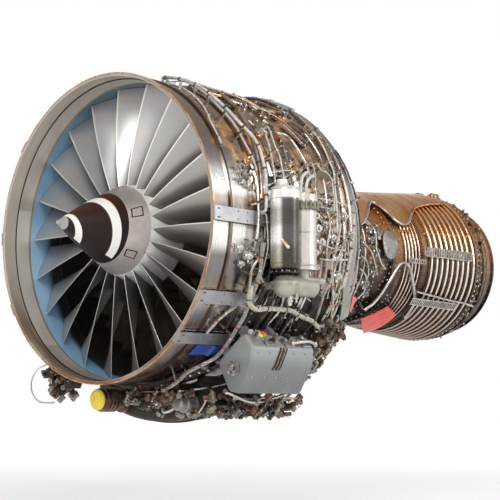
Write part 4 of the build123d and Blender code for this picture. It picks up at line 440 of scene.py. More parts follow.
# Plain finishes: dark and light tone, least and most roughness, metallic, scale of the clouds, depth of the
# grain, and the slot of the pieces that wear it, None where only solids do
PLAIN_FINISHES = {
    "steel": ((.3, .275, .25), (.68, .65, .61), .18, .38, 1, 18, .0004, "tube_steel"),
    "warm_steel": ((.24, .17, .12), (.6, .48, .37), .2, .4, 1, 14, .0004, "tube_steel"),
    "copper": ((.32, .14, .07), (.72, .4, .2), .2, .42, 1, 12, .0004, "copper_shield"),
    "dark": ((.012, .009, .008), (.065, .052, .044), .35, .6, .5, 20, .0012, "gearbox_dark"),
    "brown": ((.075, .042, .026), (.25, .16, .11), .32, .55, .7, 20, .0012, "accessory_dark"),
    "grey": ((.15, .145, .135), (.37, .36, .34), .3, .5, .7, 18, .001, "accessory_grey"),
    "pale": ((.34, .33, .3), (.6, .58, .54), .28, .48, .6, 18, .001, "accessory_grey"),
    "olive": ((.13, .125, .085), (.32, .3, .22), .35, .55, .5, 20, .001, "accessory_grey"),
    "filter": ((.25, .235, .2), (.4, .38, .33), .35, .5, .5, 9, .001, None),
    "strap": ((.225, .225, .235), (.35, .35, .36), .3, .44, .8, 10, .0003, None),
    "rose": ((.46, .41, .39), (.6, .54, .52), .3, .45, .7, 10, .0003, "fairing_grey"),
    "filler": ((.62, .62, .61), (.86, .86, .84), .3, .45, .1, 12, .0003, None),
    "vane": ((.075, .055, .04), (.2, .17, .12), .34, .5, .6, 8, .0004, None),
    "rubber": ((.3, .29, .28), (.4, .39, .38), .5, .65, 0, 20, .0004, None),
    "black": ((.012, .011, .011), (.045, .043, .043), .4, .6, 0, 40, .0008, "tip_rubber"),
    "braid": ((.15, .14, .125), (.56, .54, .5), .3, .5, .8, 220, .001, "tube_steel"),
    "cream": ((.3, .27, .22), (.62, .58, .5), .4, .6, 0, 60, .001, "filler_white"),
    "yellow": ((.74, .56, .02), (.88, .72, .06), .3, .45, 0, 18, .0003, "cap_yellow"),
    "red": ((.52, .03, .02), (.7, .06, .035), .28, .42, 0, 14, .0003, "cap_yellow"),
    "crimson": ((.13, .014, .012), (.32, .045, .03), .35, .5, 0, 14, .0003, "cap_yellow"),
    "blue": ((.01, .04, .26), (.03, .08, .38), .28, .42, 0, 14, .0003, "strip_blue"),
    "orange": ((.26, .09, .03), (.5, .2, .07), .35, .5, 0, 20, .0003, "copper_shield"),
    "tan": ((.17, .12, .085), (.44, .35, .27), .3, .5, .6, 12, .0006, "accessory_grey"),
    "moss": ((.2, .215, .18), (.38, .39, .34), .35, .5, .4, 9, .0004, "accessory_grey"),
    "brass": ((.5, .34, .11), (.78, .58, .24), .22, .38, 1, 20, .0004, "tube_steel"),
}
MATERIALS = {
    "case": polished_case(),
    "belly": copper_belly(),
    "liner": intake_liner(),
    "strip": blue_strip(),
    "blade": blade_metal(),
    "swirl": swirl_paint(),
    "shield": heat_shield_copper(),
    "ring_tube": ring_tube_metal(),
    "hot": hot_case_metal(),
    "exchanger": exchanger_metal(),
    "tank": tank_paint(),
    "white": sleeve_white(),
    "canister": canister_metal(),
    "guide_vane": guide_vane_metal(),
}
for finish, (*look, slot) in PLAIN_FINISHES.items():
    MATERIALS[finish] = tinted(finish, *look)

# Solids by their finish; the others are grey
NODES_OF = {
    "blade": ["fan_blades"],
    "filler": ["annulus_fillers"],
    "swirl": ["spinner"],
    "rubber": ["spinner_tip"],
    "rose": ["annulus_fairing"],
    "vane": ["booster_rotor", "high_pressure_compressor_rotor", "booster_case", "inlet_guide_vanes",
        "frame_struts", "splitter"],
    "steel": ["low_pressure_shaft", "low_pressure_bearing_races", "high_pressure_bearing_races",
        "outer_bearing_races", "fuel_nozzles", "case_pipes", "core_pipes"],
    "hot": ["low_pressure_turbine_rotor", "high_pressure_turbine_rotor", "combustion_case",
        "combustor_liner", "combustor_inner_case", "high_pressure_turbine_case", "low_pressure_turbine_case",
        "exhaust_case", "exhaust_hub", "exhaust_struts", "rear_bearing_cover", "rear_mount"],
    "case": ["fan_case"],
    "liner": ["acoustic_liners"],
    "strip": ["rub_strip"],
    "strap": ["case_straps"],
    "belly": ["frame_ring"],
    "guide_vane": ["outlet_guide_vanes"],
    "warm_steel": ["compressor_case_front", "compressor_case_rear", "main_air_pipe"],
    "ring_tube": ["cooling_tubes"],
    "shield": ["heat_shield"],
    "dark": ["gearbox"],
    "brown": ["starter", "oil_pump", "generator"],
    "yellow": ["starter_cap"],
    "tank": ["oil_tank"],
    "exchanger": ["heat_exchanger"],
    "canister": ["air_canister"],
    "filter": ["filter_housing"],
}


def dress_nodes():
    finish_of = {node: finish for finish, nodes in NODES_OF.items() for node in nodes}
    for name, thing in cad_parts.items():
        thing.data.materials.clear()
        thing.data.materials.append(MATERIALS[finish_of.get(name, "grey")])


def show(name, data, place=None, target=None):
    """New object in the scene, aimed at a target where one is given."""
    thing = bpy.data.objects.new(name, data)
    bpy.context.collection.objects.link(thing)
    if target:
        thing.location = place
        look = Vector(target) - Vector(place)
        thing.rotation_euler = look.to_track_quat("-Z", "Y").to_euler()
    return thing


def make_camera():
    lens = bpy.data.cameras.new("camera")
    lens.lens = CAMERA_FOCAL
    lens.sensor_width = 36
    lens.clip_end = 200
    bpy.context.scene.camera = show("camera", lens, CAMERA_PLACE, CAMERA_TARGET)


def soft_light(name, place, target, size, power, colour=(1, 1, 1)):
    lamp = bpy.data.lights.new(name, "AREA")
    lamp.shape = "RECTANGLE"
    lamp.size, lamp.size_y = size
    lamp.energy = power
    lamp.color = colour
    show(name, lamp, place, target)


def make_studio():
    """Pale floor, bright horizon and soft lamps, with the light falling off overhead."""
    world = bpy.data.worlds.new("studio")
    bpy.context.scene.world = world
    world.use_nodes = True
    tree = world.node_tree
    kinds = ("TexCoord", "SeparateXYZ", "ValToRGB")
    place, split, sky = (tree.nodes.new("ShaderNode" + kind) for kind in kinds)
    set_stops(sky.color_ramp, [(height, level, level, level) for height, level in SKY])
    tree.links.new(place.outputs["Generated"], split.inputs[0])
    tree.links.new(split.outputs[2], sky.inputs[0])
    tree.links.new(sky.outputs[0], tree.nodes["Background"].inputs[0])
    soft_light("key", (4.2, -3.6, 3.4), (.2, .6, 0), (2.6, 2.6), 190, (1, .97, .93))
    soft_light("side", (5, 3.2, 1.6), (.2, 1.4, 0), (1.2, 3), 95)
    soft_light("front", (-1.5, -5.5, 1.4), (0, 0, 0), (2.5, 2.5), 45)
    grid = bpy.data.meshes.new("floor")
    corners = ((-1, -1), (1, -1), (1, 1), (-1, 1))
    grid.from_pydata([(x * FLOOR_REACH, y * FLOOR_REACH, FLOOR_Z) for x, y in corners], [], [range(4)])
    g = Graph("floor_paint", 0, Roughness=.8, Emission_Color=(1, 1, 1))
    g.give("Base Color", g.ramp(g.noise(g.place, .6, 3), (.3, .88, .88, .88), (.7, .92, .92, .92)))
    g.give("Emission Strength", g.span(g.length(g.x, g.y), 2.5, 14, .3, .62))
    grid.materials.append(g.material)
    floor = show("floor", grid)


PIECES = []
ACROSS = Vector((1, 0, 0))
AFT = Vector((0, 1, 0))
UP = Vector((0, 0, 1))


def outward(clock):
    turn = math.radians(clock)
    return Vector((math.sin(turn), 0, math.cos(turn)))


def along_clock(clock):
    """Direction of growing clock angle."""
    turn = math.radians(clock)
    return Vector((math.cos(turn), 0, -math.sin(turn)))


def at(clock, y, radius):
    return outward(clock) * radius + Vector((0, y, 0))


def clock_of(point):
    return math.degrees(math.atan2(point.x, point.z))


def circle(centre, side, up, radius, count):
    """Points evenly round a centre, in the plane of two directions."""
    turns = [2 * math.pi * i / count for i in range(count)]
    return [centre + (side * math.cos(turn) + up * math.sin(turn)) * radius for turn in turns]


def tree_of(*nodes):
    """Surface of some solids that rays can be cast at."""
    points, faces = [], []
    for node in nodes:
        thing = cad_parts[node]
        start = len(points)
        points += [thing.matrix_world @ corner.co for corner in thing.data.vertices]
        faces += [[start + i for i in face.vertices] for face in thing.data.polygons]
    return BVHTree.FromPolygons(points, faces)


SHELL = tree_of("fan_case", "frame_ring")
TANK = tree_of("oil_tank")
STRAPS = tree_of("case_straps", "fan_case")
CORE = tree_of("compressor_case_front", "compressor_case_rear", "combustion_case",
    "high_pressure_turbine_case", "low_pressure_turbine_case", "exhaust_case")


def skin(tree, clock, y, otherwise=None):
    """Radius of the outermost surface at a clock angle and station."""
    hit = tree.ray_cast(at(clock, y, FAR_OUT), -outward(clock), FAR_OUT)[0]
    return math.hypot(hit.x, hit.z) if hit else otherwise or (CASE_R if y < 1.2 else CORE_R)


def on(tree, clock, y, lift=0, otherwise=None):
    """Point at a lift above the skin."""
    return at(clock, y, skin(tree, clock, y, otherwise) + lift)


def rounded(points, bend, steps=5):
    """Polyline with its corners rounded off."""
    line = [points[0]]
    for before, corner, after in zip(points, points[1:], points[2:]):
        cut = min(bend, (corner - before).length / 2, (after - corner).length / 2)
        start = corner + (before - corner).normalized() * cut
        end = corner + (after - corner).normalized() * cut
        for i in range(steps):
            t = i / (steps - 1)
            line.append(start * (1 - t) ** 2 + corner * (2 * t * (1 - t)) + end * t ** 2)
    return line + [points[-1]]


def evenly(points, step):
    """Points about a step apart along a polyline."""
    line = [points[0]]
    for start, end in zip(points, points[1:]):
        count = max(1, round((end - start).length / step))
        line += [start.lerp(end, (i + 1) / count) for i in range(count)]
    return line


def unrolled(stops, bend, step):
    """(Clock, station) pairs about a step apart along a line with rounded corners through some stops."""
    flat = [Vector((math.radians(clock) * UNROLL_R, y)) for clock, y in stops]
    return [(math.degrees(spot.x) / UNROLL_R, spot.y) for spot in evenly(rounded(flat, bend), step)]


def windows(values, reach=3):
    """The neighbours of each value, itself among them."""
    return [values[max(0, i - reach):i + reach + 1] for i in range(len(values))]


def route(tree, stops, lift, bend, level):
    """Points that follow the skin through (clock, station) stops, a lift above whatever lies under them."""
    line = unrolled(stops, bend, STEP)
    heights = [skin(tree, *spot) for spot in line]
    ridge = [max(near) for near in windows(heights)]
    return [at(*spot, max(level, sum(near) / len(near) + lift)) for spot, near in zip(line, windows(ridge))]


def dived(path, tree):
    """Path whose two ends turn down to the skin."""
    start, end = (rounded([on(tree, clock_of(tip), tip.y), tip, inner], DIVE_BEND)[:-1]
        for tip, inner in ((path[0], path[2]), (path[-1], path[-3])))
    return start + path[2:-2] + end[::-1]


class Piece:
    """One object of the scene, gathered from many small shapes with the same finish."""

    def __init__(self, name, finish, body="casing"):
        self.name = name
        self.finish = finish
        self.body = body
        self.points = []
        self.faces = []
        PIECES.append(self)

    def add(self, points, faces):
        start = len(self.points)
        self.points += points
        self.faces += [tuple(start + i for i in face) for face in faces]

    def rings(self, rings):
        """Skin over rings of the same number of points, closed at both ends."""
        sides = len(rings[0])
        faces = [tuple(range(sides))[::-1], tuple(range((len(rings) - 1) * sides, len(rings) * sides))]
        for k in range(len(rings) - 1):
            for i in range(sides):
                j = (i + 1) % sides
                faces.append((k * sides + i, k * sides + j, (k + 1) * sides + j, (k + 1) * sides + i))
        self.add([point for ring in rings for point in ring], faces)

    def sweep(self, path, radius, sides=8):
        """Round tube along a path."""
        self.rings([circle(point, side, up, radius, sides) for point, side, up in carried(path)])

    def bundle(self, path, strands, strand_r):
        """Strands of a harness, turned by a twist from one point to the next."""
        spread, twist = strand_r / math.sin(math.pi / strands), .5
        frames = carried(path)
        for k in range(strands):
            turns = [2 * math.pi * k / strands + twist * i for i in range(len(frames))]
            self.sweep([point + (side * math.cos(turn) + up * math.sin(turn)) * spread
                for turn, (point, side, up) in zip(turns, frames)], strand_r, 6)

    def lathe(self, base, way, profile, sides=12):
        """Turned shape about a line from a profile of (radius, height)."""
        way = way.normalized()
        side = way.orthogonal().normalized()
        up = way.cross(side)
        self.rings([circle(base + way * height, side, up, radius, sides) for radius, height in profile])

    def bolt(self, base, way, size):
        """Washer under a hexagon head; the size is the radius of the head."""
        self.lathe(base, way, [(size * 1.25, -size * .3), (size * 1.25, size * .25)], 10)
        self.lathe(base, way, [(size, size * .2), (size, size * .85), (size * .75, size * 1.05)], 6)

    def rivet(self, base, way, size):
        self.lathe(base, way, [(size, -size * .3), (size, size * .15), (size * .55, size * .45)], 8)

    def slab(self, centre, across, along, out, size):
        """Block with chamfered outer edges; size is (across, along, out)."""
        width, length, height = (part / 2 for part in size)
        edge = min(size) * .22
        corners = ((-1, -1), (1, -1), (1, 1), (-1, 1))
        self.rings([[centre + across * (x * (width - inset)) + along * (y * (length - inset)) + out * level
            for x, y in corners] for level, inset in ((-height, 0), (height - edge, 0), (height, edge))])

    def sheet(self, tree, corners, lift, thick, steps=8):
        """Curved plate over the skin between four (clock, station) corners."""
        a, b, c, d = (Vector(corner) for corner in corners)
        row = steps + 1
        size = row * row
        shares = [i / steps for i in range(row)]
        spots = [a.lerp(b, across).lerp(d.lerp(c, across), along) for along in shares for across in shares]
        lows = [(skin(tree, *spot) if tree else 0) + lift for spot in spots]
        points = [at(*spot, low + high) for high in (0, thick) for spot, low in zip(spots, lows)]
        faces = []
        for start in (j * row + i for j in range(steps) for i in range(steps)):
            quad = (start, start + 1, start + row + 1, start + row)
            faces += [quad[::-1], tuple(size + k for k in quad)]
        rim = ([i for i in range(steps)] + [steps + j * row for j in range(steps)]
            + [size - 1 - i for i in range(steps)] + [(steps - j) * row for j in range(steps)])
        for start, end in zip(rim, rim[1:] + rim[:1]):
            faces.append((start, end, size + end, size + start))
        self.add(points, faces)

    def disc(self, tree, clock, y, half_clock, half_y, lift, thick):
        """Round plate of one radius that clears the skin under it."""
        spots = circle(Vector((clock, y)), Vector((half_clock, 0)), Vector((0, half_y)), 1, 28)
        level = max(skin(tree, *spot) for spot in spots) + lift
        self.rings([[at(clock + (a - clock) * share, y + (b - y) * share, level + high) for a, b in spots]
            for share, high in ((1, 0), (1, thick), (.9, thick * 1.4), (.05, thick * 1.6))])
        return level + thick

    def build(self):
        mesh = bpy.data.meshes.new(self.name)
        mesh.from_pydata(self.points, [], self.faces)
        work = bmesh.new()
        work.from_mesh(mesh)
        bmesh.ops.recalc_face_normals(work, faces=work.faces)
        work.to_mesh(mesh)
        work.free()
        mesh.shade_smooth()
        mesh.set_sharp_from_angle(angle=math.radians(38))
        mesh.materials.append(MATERIALS[self.finish])
        thing = show(self.name, mesh)
        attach(thing, self.body)


def ahead_at(path, i):
    """Direction of a path at one of its points."""
    return (path[min(i + 1, len(path) - 1)] - path[max(i - 1, 0)]).normalized()


def carried(path):
    """Each point of a path with two directions across it, carried along without twist."""
    frames = []
    side = None
    for i, point in enumerate(path):
        ahead = ahead_at(path, i)
        side = ahead.orthogonal() if side is None else side - ahead * side.dot(ahead)
        side.normalize()
        frames.append((point, side, ahead.cross(side)))
    return frames


TUBES = {finish: Piece(finish + "_tubes", finish) for finish in ("white", "steel", "warm_steel", "copper",
    "black", "braid", "rose", "brown", "cream", "dark")}
BANDS = {finish: Piece(finish + "_bands", finish) for finish in ("steel", "black", "orange", "crimson",
    "brown")}
NUTS = Piece("pipe_nuts", "steel")
BRACKETS = Piece("clamp_brackets", "steel")
BOLTS = Piece("case_bolts", "steel")
DARK_BOLTS = Piece("dark_fasteners", "dark")


def band(piece, path, i, radius, width):
    """Sleeve round a tube at one of its points."""
    ahead = ahead_at(path, i)
    profile = [(radius * .86, -.001), (radius, 0), (radius, width), (radius * .86, width + .001)]
    piece.lathe(path[i] - ahead * width / 2, ahead, profile)


def clamp(tree, path, i, radius, finish="steel"):
    """Band round a tube, its foot down to the skin and a bolt beside it."""
    band(BANDS[finish], path, i, radius + .0018, .01)
    point, ahead = path[i], ahead_at(path, i)
    clock = clock_of(point)
    out = outward(clock)
    beside = out.cross(ahead).normalized()
    gap = math.hypot(point.x, point.z) - skin(tree, clock, point.y)
    foot = point + beside * (radius + .007)
    if gap >= .002:
        BRACKETS.slab(foot - out * gap / 2, beside, ahead, out, (.009, .01, gap + .003))
        BOLTS.bolt(foot + out * .0015, out, .0034)


def pipe(finish, radius, lift, stops, tree=SHELL, clamps=.16, bands="steel", level=0):
    """Clamped pipe over the skin with union nuts at its ends."""
    path = route(tree, stops, lift + radius, PIPE_BEND, level)
    if len(path) > 6:
        path = dived(path, tree)
        for base, inner in ((path[0], path[1]), (path[-1], path[-2])):
            way = inner - base
            NUTS.lathe(base, way, [(radius * 2.1, -.004), (radius * 2.1, .005)])
            NUTS.lathe(base, way, [(radius * 1.75, .004), (radius * 1.75, .015), (radius * 1.3, .018)], 6)
    TUBES[finish].sweep(path, radius)
    if clamps:
        pace = max(3, round(clamps / STEP))
        for i in range(pace // 2 + 2, len(path) - 4, pace):
            clamp(tree, path, i, radius, bands)


def harness(finish, strands, strand_r, lift, stops, ties="black", pace=5, level=0):
    """Bundle of cables with ties and now and then a clamp."""
    reach = strand_r * (1 + 1 / math.sin(math.pi / strands))
    path = route(SHELL, stops, lift + reach, HARNESS_BEND, level)
    TUBES[finish].bundle(path, strands, strand_r)
    for i in range(pace // 2, len(path) - 1, pace):
        band(BANDS[ties], path, i, reach + .0008, .007)
    for i in range(pace, len(path) - 4, pace * 3):
        clamp(SHELL, path, i, reach)


def free_pipe(finish, radius, points, bend=.05):
    """Pipe through given points in space, with a nut at each end."""
    path = evenly(rounded([Vector(point) for point in points], bend, 7), .02)
    TUBES[finish].sweep(path, radius, 10)
    for base, inner in ((path[0], path[1]), (path[-1], path[-2])):
        profile = [(radius * 1.75, -.004), (radius * 1.75, .012), (radius * 1.3, .016)]
        NUTS.lathe(base, inner - base, profile, 6)


def bolt_flange(tree, start, facing, radius, count, size):
    """Bolts round the flange that a look along the engine meets first."""
    look_clock, look_length = 45, .6
    hit = tree.ray_cast(at(look_clock, start, radius), AFT * facing, look_length)[0]
    y = hit.y if hit else start
    for i in range(count):
        BOLTS.bolt(at(360 * i / count, y, radius), AFT * -facing, size)


def bolt_on(tree, clock, y, lift, size, otherwise=None):
    """Bolt on the skin."""
    BOLTS.bolt(on(tree, clock, y, lift, otherwise), outward(clock), size)


def fit_fasteners():
    """Bolts of the flanges and the straps."""
    for tree, flanges in ((SHELL, FLANGES), (CORE, CORE_FLANGES)):
        for flange in flanges:
            bolt_flange(tree, *flange)
    for clock in STRAP_CLOCKS:
        for turn in (clock - 1.45, clock + 1.45):
            for y in (.035, .17, .24, .365, .395):
                DARK_BOLTS.rivet(on(STRAPS, turn, y), outward(turn), .0042)


def dress_straps():
    """Thin steel lines along both edges of the three straps on the right, a painted highlight on those edges.
    """
    for clock in STRAP_CLOCKS[:3]:
        for turn in (clock - 2.55, clock + 2.55):
            TUBES["steel"].sweep([on(STRAPS, turn, y, .001) for y in (.02, .12, .22, .32, .4)], .0016, 6)


def plug(clock, y, lift, way, size):
    """Electrical connector: flange, threaded shell, back shell and boot."""
    base = on(SHELL, clock, y, lift)
    thread = [(size, .003), (size * 1.05, .008), (size * .95, .009), (size * 1.05, .016), (size * .9, .019)]
    for piece, profile, sides in ((PLUGS, [(size * 1.25, 0), (size * 1.25, .003)], 8), (PLUGS, thread, 12),
            (PLUGS, [(size * .72, .018), (size * .72, .034), (size * .5, .042)], 10),
            (BANDS["black"], [(size * .5, .04), (size * .4, .058)], 8)):
        piece.lathe(base, way, profile, sides)


def valve(piece, clock, y, lift, size, tree=SHELL):
    """Small actuator or valve: body, cover with screws, side ports."""
    out, across = outward(clock), along_clock(clock)
    base = on(tree, clock, y, lift)
    piece.slab(base + out * size * .35, across, AFT, out, (size * 2.2, size * 2.2, size * .9))
    piece.lathe(base + out * size * .7, out, [(size, 0), (size, size * .9), (size * .8, size * 1.15),
        (size * .45, size * 1.2), (size * .45, size * 1.6)], 14)
    diagonals = [(AFT + across) * math.sqrt(.5), (AFT - across) * math.sqrt(.5)]
    for spot in circle(base + out * size * .8, *diagonals, size * 1.25, 4):
        BOLTS.bolt(spot, out, size * .18)
    for way in (across, -AFT):
        NUTS.lathe(base + out * size * 1.1, way, [(size * .42, 0), (size * .42, size * 1.5),
            (size * .3, size * 1.7)], 6)


def bracket(clock, y, size, turn=0):
    """Folded plate bolted to the skin."""
    out = outward(clock)
    across = along_clock(clock) * math.cos(turn) + AFT * math.sin(turn)
    along = out.cross(across)
    base = on(SHELL, clock, y)
    BRACKETS.slab(base + out * .002, across, along, out, (size, size * .6, .004))
    BRACKETS.slab(base + (out * .3 + across * .48) * size, out, along, across, (size * .6, size * .5, .004))
    for spread in (-.3, .2):
        BOLTS.bolt(base + out * .004 + across * size * spread, out, .0032)


PLUGS = Piece("connectors", "steel")
PALE_PARTS = Piece("pale_valves", "pale")
GREY_PARTS = Piece("grey_castings", "grey")
DARK_PARTS = Piece("dark_parts", "dark")
BROWN_PARTS = Piece("brown_parts", "brown")
BRASS_PARTS = Piece("brass_fittings", "brass")
WHITE_PARTS = Piece("white_parts", "white")
OLIVE_PARTS = Piece("olive_parts", "olive")
RIMS = Piece("vessel_rims", "pale")


def lay_front_pipes():
    """Lines over the front fan case."""
    pipe("white", .0085, .02, [(6, .37), (22, .335), (39.6, .304), (52.1, .339), (58.8, .4), (63.4, .409),
        (68.4, .398), (74.2, .39), (87.2, .353)], clamps=.12, bands="brown", level=.87)
    pipe("rose", .0068, .02, [(10, .31), (28, .285), (42.8, .268), (53.4, .299), (62.3, .305), (67, .322),
        (73, .33)], clamps=.12, bands="black", level=.866)
    pipe("cream", .0042, .01, [(4, .45), (18, .44), (24.3, .433), (26, .52), (30, .6), (32, .628),
        (37.7, .664), (39.4, .726), (38.2, .805)], level=.866)
    pipe("white", .0042, .004, [(-30, .36), (-8, .33), (20, .27), (42, .21), (53, .16), (63, .159)])
    pipe("steel", .005, .004, [(-50, .62), (-10, .62), (16, .6), (26, .52)])
    pipe("copper", .005, .004, [(-46, .66), (-6, .66), (24, .645), (33, .62), (38, .58)])
    pipe("cream", .0052, .006, [(54, .5), (63, .476), (66, .463), (75, .438), (86, .43)], level=.885)
    pipe("white", .0042, .006, [(52, .56), (62, .526), (65, .536), (69, .524), (80, .502)], level=.885)
    pipe("steel", .0045, .006, [(60, .61), (69, .587), (73, .583), (80, .584)], level=.88)
    pipe("white", .0034, .02, [(73, .437), (71, .598)], clamps=0, level=.89)
    pipe("steel", .0062, .003, [(70, .305), (78, .315), (87, .305), (93, .301), (101, .29)], bands="black",
        level=.862)
    pipe("warm_steel", .005, .004, [(68, .335), (80, .332), (92, .33), (102, .33)])
    pipe("cream", .0038, .01, [(88, .35), (92, .358), (100, .378), (104, .369), (112, .363)], level=.875)
    pipe("steel", .0038, .006, [(90, .385), (99, .395), (107, .386), (114, .372)])
    pipe("braid", .0075, .01, [(103, .317), (107, .272), (111, .288), (117, .306)], bands="orange",
        clamps=.08, level=.88)
    for clock, y in ((121.5, .1), (124, .2), (129, .16)):
        bracket(clock, y, .03)


def lay_harnesses():
    """Cable bundles round the lower case and over the tank."""
    harness("cream", 6, .0044, .012, [(112, .255), (118, .275), (120, .355), (119, .43), (119, .528),
        (119, .628), (121, .716), (122, .817), (124, .885), (127, .976), (129, 1.057), (136, 1.1)],
        ties="brown", pace=11, level=.925)
    harness("braid", 5, .004, .012, [(98, .31), (108, .33), (118, .317), (124, .327), (128, .315),
        (135, .321), (142, .315), (146, .257), (150, .212), (158, .243), (166, .26)], ties="crimson", pace=10,
        level=.893)
    harness("cream", 3, .0034, .008, [(119, .316), (121, .306), (124, .259), (128, .213), (134, .19)],
        ties="crimson", pace=9)
    harness("cream", 3, .0036, .01, [(88, .93), (96, .9), (103, .868), (109, .921), (119, .991), (126, 1.051),
        (134, 1.07)], ties="orange", pace=8, level=.9)
    harness("braid", 3, .0036, .01, [(92, .985), (101, .914), (109, .892), (113, .867), (122, .883)],
        ties="orange", pace=8, level=.9)
    harness("cream", 3, .0032, .012, [(84, 1.06), (96, 1.04), (109, 1.013), (113, .98), (121, .951),
        (130, .934)], ties="black", pace=9, level=.895)
    harness("black", 3, .0026, .003, [(56, 1.12), (66, 1.135), (80, 1.16), (92, 1.17), (104, 1.19)],
        ties="orange", pace=16)
    harness("black", 4, .004, .006, [(146, .43), (150, .34), (160, .3), (176, .28), (196, .25)],
        ties="crimson", pace=16)
    harness("braid", 3, .0034, .006, [(70, .64), (80, .655), (92, .66), (104, .645), (114, .655)],
        ties="black", pace=8)
    for i in range(5):
        harness("black", 3, .0046, .006 + .006 * (i % 2), [(104 + i, .47 + .05 * i), (116, .45 + .07 * i),
            (128, .42 + .08 * i), (140, .4 + .08 * i), (150, .38 + .09 * i)], ties="brown", pace=9)


def lay_side_pipes():
    """Dense pipework aft of the upright vessels."""
    for finish, radius, lift, *stops in (
            ("steel", .005, .006, (52, .86), (59, .879), (64, .891), (71, .845), (82, .83)),
            ("cream", .0046, .016, (66, .83), (69, .844), (69, .896), (72, .925), (75, .912), (84, .892)),
            ("white", .005, .01, (50, .965), (59, .964), (64, .954), (68, .963), (75, .93), (80, .918),
                (91, .908)),
            ("warm_steel", .0048, .01, (50, .985), (59, .984), (64, .974), (68, .983), (76, .95), (81, .938),
                (92, .928)),
            ("cream", .004, .008, (66, .79), (72, .783), (75, .755), (83, .751)),
            ("cream", .0044, .014, (80, .745), (80, .762), (80, .916), (81, 1.02)),
            ("steel", .0046, .016, (83, .76), (83, .791), (83, .894), (85, .932), (95, .928)),
            ("cream", .005, .014, (94, .71), (95, .73), (97, .883), (97, .99)),
            ("white", .0052, .012, (101, .83), (101, .854), (100, 1.02))):
        pipe(finish, radius, lift, stops, level=.893)
    for finish, radius, lift, *stops in (
            ("steel", .005, .008, (86, .7), (93, .72), (100, .7), (106, .72), (112, .7)),
            ("warm_steel", .007, .004, (44, 1), (56, 1.01), (74, 1), (92, 1.01), (110, 1.02), (124, 1.04)),
            ("steel", .0044, .008, (62, 1), (74, 1), (84, .99), (96, 1), (108, .98)),
            ("copper", .005, .006, (34, .93), (48, .93), (58, .92), (66, .9)),
            ("warm_steel", .0056, .004, (96, 1.15), (110, 1.15), (126, 1.14), (140, 1.16)),
            ("steel", .0064, .006, (104, .76), (112, .78), (122, .76), (132, .8))):
        pipe(finish, radius, lift, stops)
    pipe("braid", .007, .008, [(84, .84), (90, .86), (97, .83), (104, .86), (110, .85)], bands="orange",
        level=.885)
    for i in range(5):
        clock = 70 + 3.4 * i
        pipe(("steel", "brown")[i % 2], .0038, .004 + .003 * (i % 2), [(clock, .715), (clock + 1, .8),
            (clock + 7, .82 + .012 * i), (clock + 8, .9)], clamps=.1)
    for i in range(6):
        y = .79 + .045 * i
        pipe(("steel", "brown", "cream")[i % 3], .0034 + .0006 * (i % 3), .018,
            [(88 + i, y), (94 + i, y + .02), (102 - i, y - .012), (112 + i, y + .01)], clamps=.12)
    for i in range(9):
        y = .46 + .075 * i
        finish = ("dark", "brown", "steel", "dark", "cream")[i % 5]
        pipe(finish, .0042 + .0012 * (i % 3), .004 + .005 * (i % 3), [(113 + i % 4, y), (121, y + .03),
            (131 - i % 3, y - .02), (140 + i % 5, y + .03)], clamps=.1)


def lay_top_pipes():
    """Lines and small parts that show along the upper silhouette."""
    for i in range(4):
        pipe(("copper", "warm_steel", "steel", "brown")[i], .005 + .001 * (i % 2), .006,
            [(-60, .42 + .06 * i), (-20, .44 + .06 * i), (8, .43 + .06 * i), (24, .46 + .055 * i),
            (32, .54 + .045 * i)], clamps=.12)
    pipe("copper", .007, .012, [(-40, .58), (-14, .6), (6, .62), (22, .66), (36, .76), (44, .84)])
    pipe("brown", .008, .006, [(-20, .74), (4, .75), (18, .78), (30, .84), (38, .9)])
    harness("black", 3, .0036, .006, [(-30, .8), (0, .8), (20, .84), (34, .93), (44, .98)], ties="brown",
        pace=10)
    plate = Piece("top_plate", "moss")
    plate.sheet(SHELL, [(17, .93), (16, 1.1), (30, 1.1), (33, .95)], .01, .005)
    for clock, y in ((18, .95), (18, 1.08), (29, 1.08), (31, .965), (24, .95)):
        bolt_on(SHELL, clock, y, .013, .0042)
    for clock, y in ((12, .5), (17, .62), (22, .7), (28, .74), (24, .58), (31, .8), (19, .4), (14, .3),
            (36, .88), (40, .8), (33, .52), (37, .46), (44, .6), (48, .68)):
        valve((BROWN_PARTS, DARK_PARTS, OLIVE_PARTS)[clock % 3], clock, y, 0, .01 + .001 * (clock % 4))
    for clock, y in ((20, .46), (26, .64), (33, .7), (38, .72), (36, .8), (46, .52), (50, .6), (43, .68)):
        plug(clock, y, .006, along_clock(clock) + AFT * .5, .01)


def make_side_panel():
    """Ribbed cover on the rear case, bolted round its rim."""
    corners = [(45.6, .774), (42.3, .893), (53.2, .933), (56.9, .833)]
    panel = Piece("ribbed_cover", "tan")
    panel.sheet(SHELL, corners, .016, .006)
    a, b, c, d = (Vector(corner) for corner in corners)
    for share in (.14, .38, .62, .86):
        start, end = a.lerp(b, share), d.lerp(c, share)
        line = [start.lerp(end, .06 + .11 * i) for i in range(9)]
        panel.sweep([on(SHELL, *spot, .024) for spot in line], .0055, 6)
        TUBES["dark"].sweep([on(SHELL, *(spot + (b - a) * .11), .0225) for spot in line], .0035, 6)
    for start, end in ((a, b), (b, c), (c, d), (d, a)):
        for share in (.125, .375, .625, .875):
            bolt_on(SHELL, *start.lerp(end, share), .022, .0034)


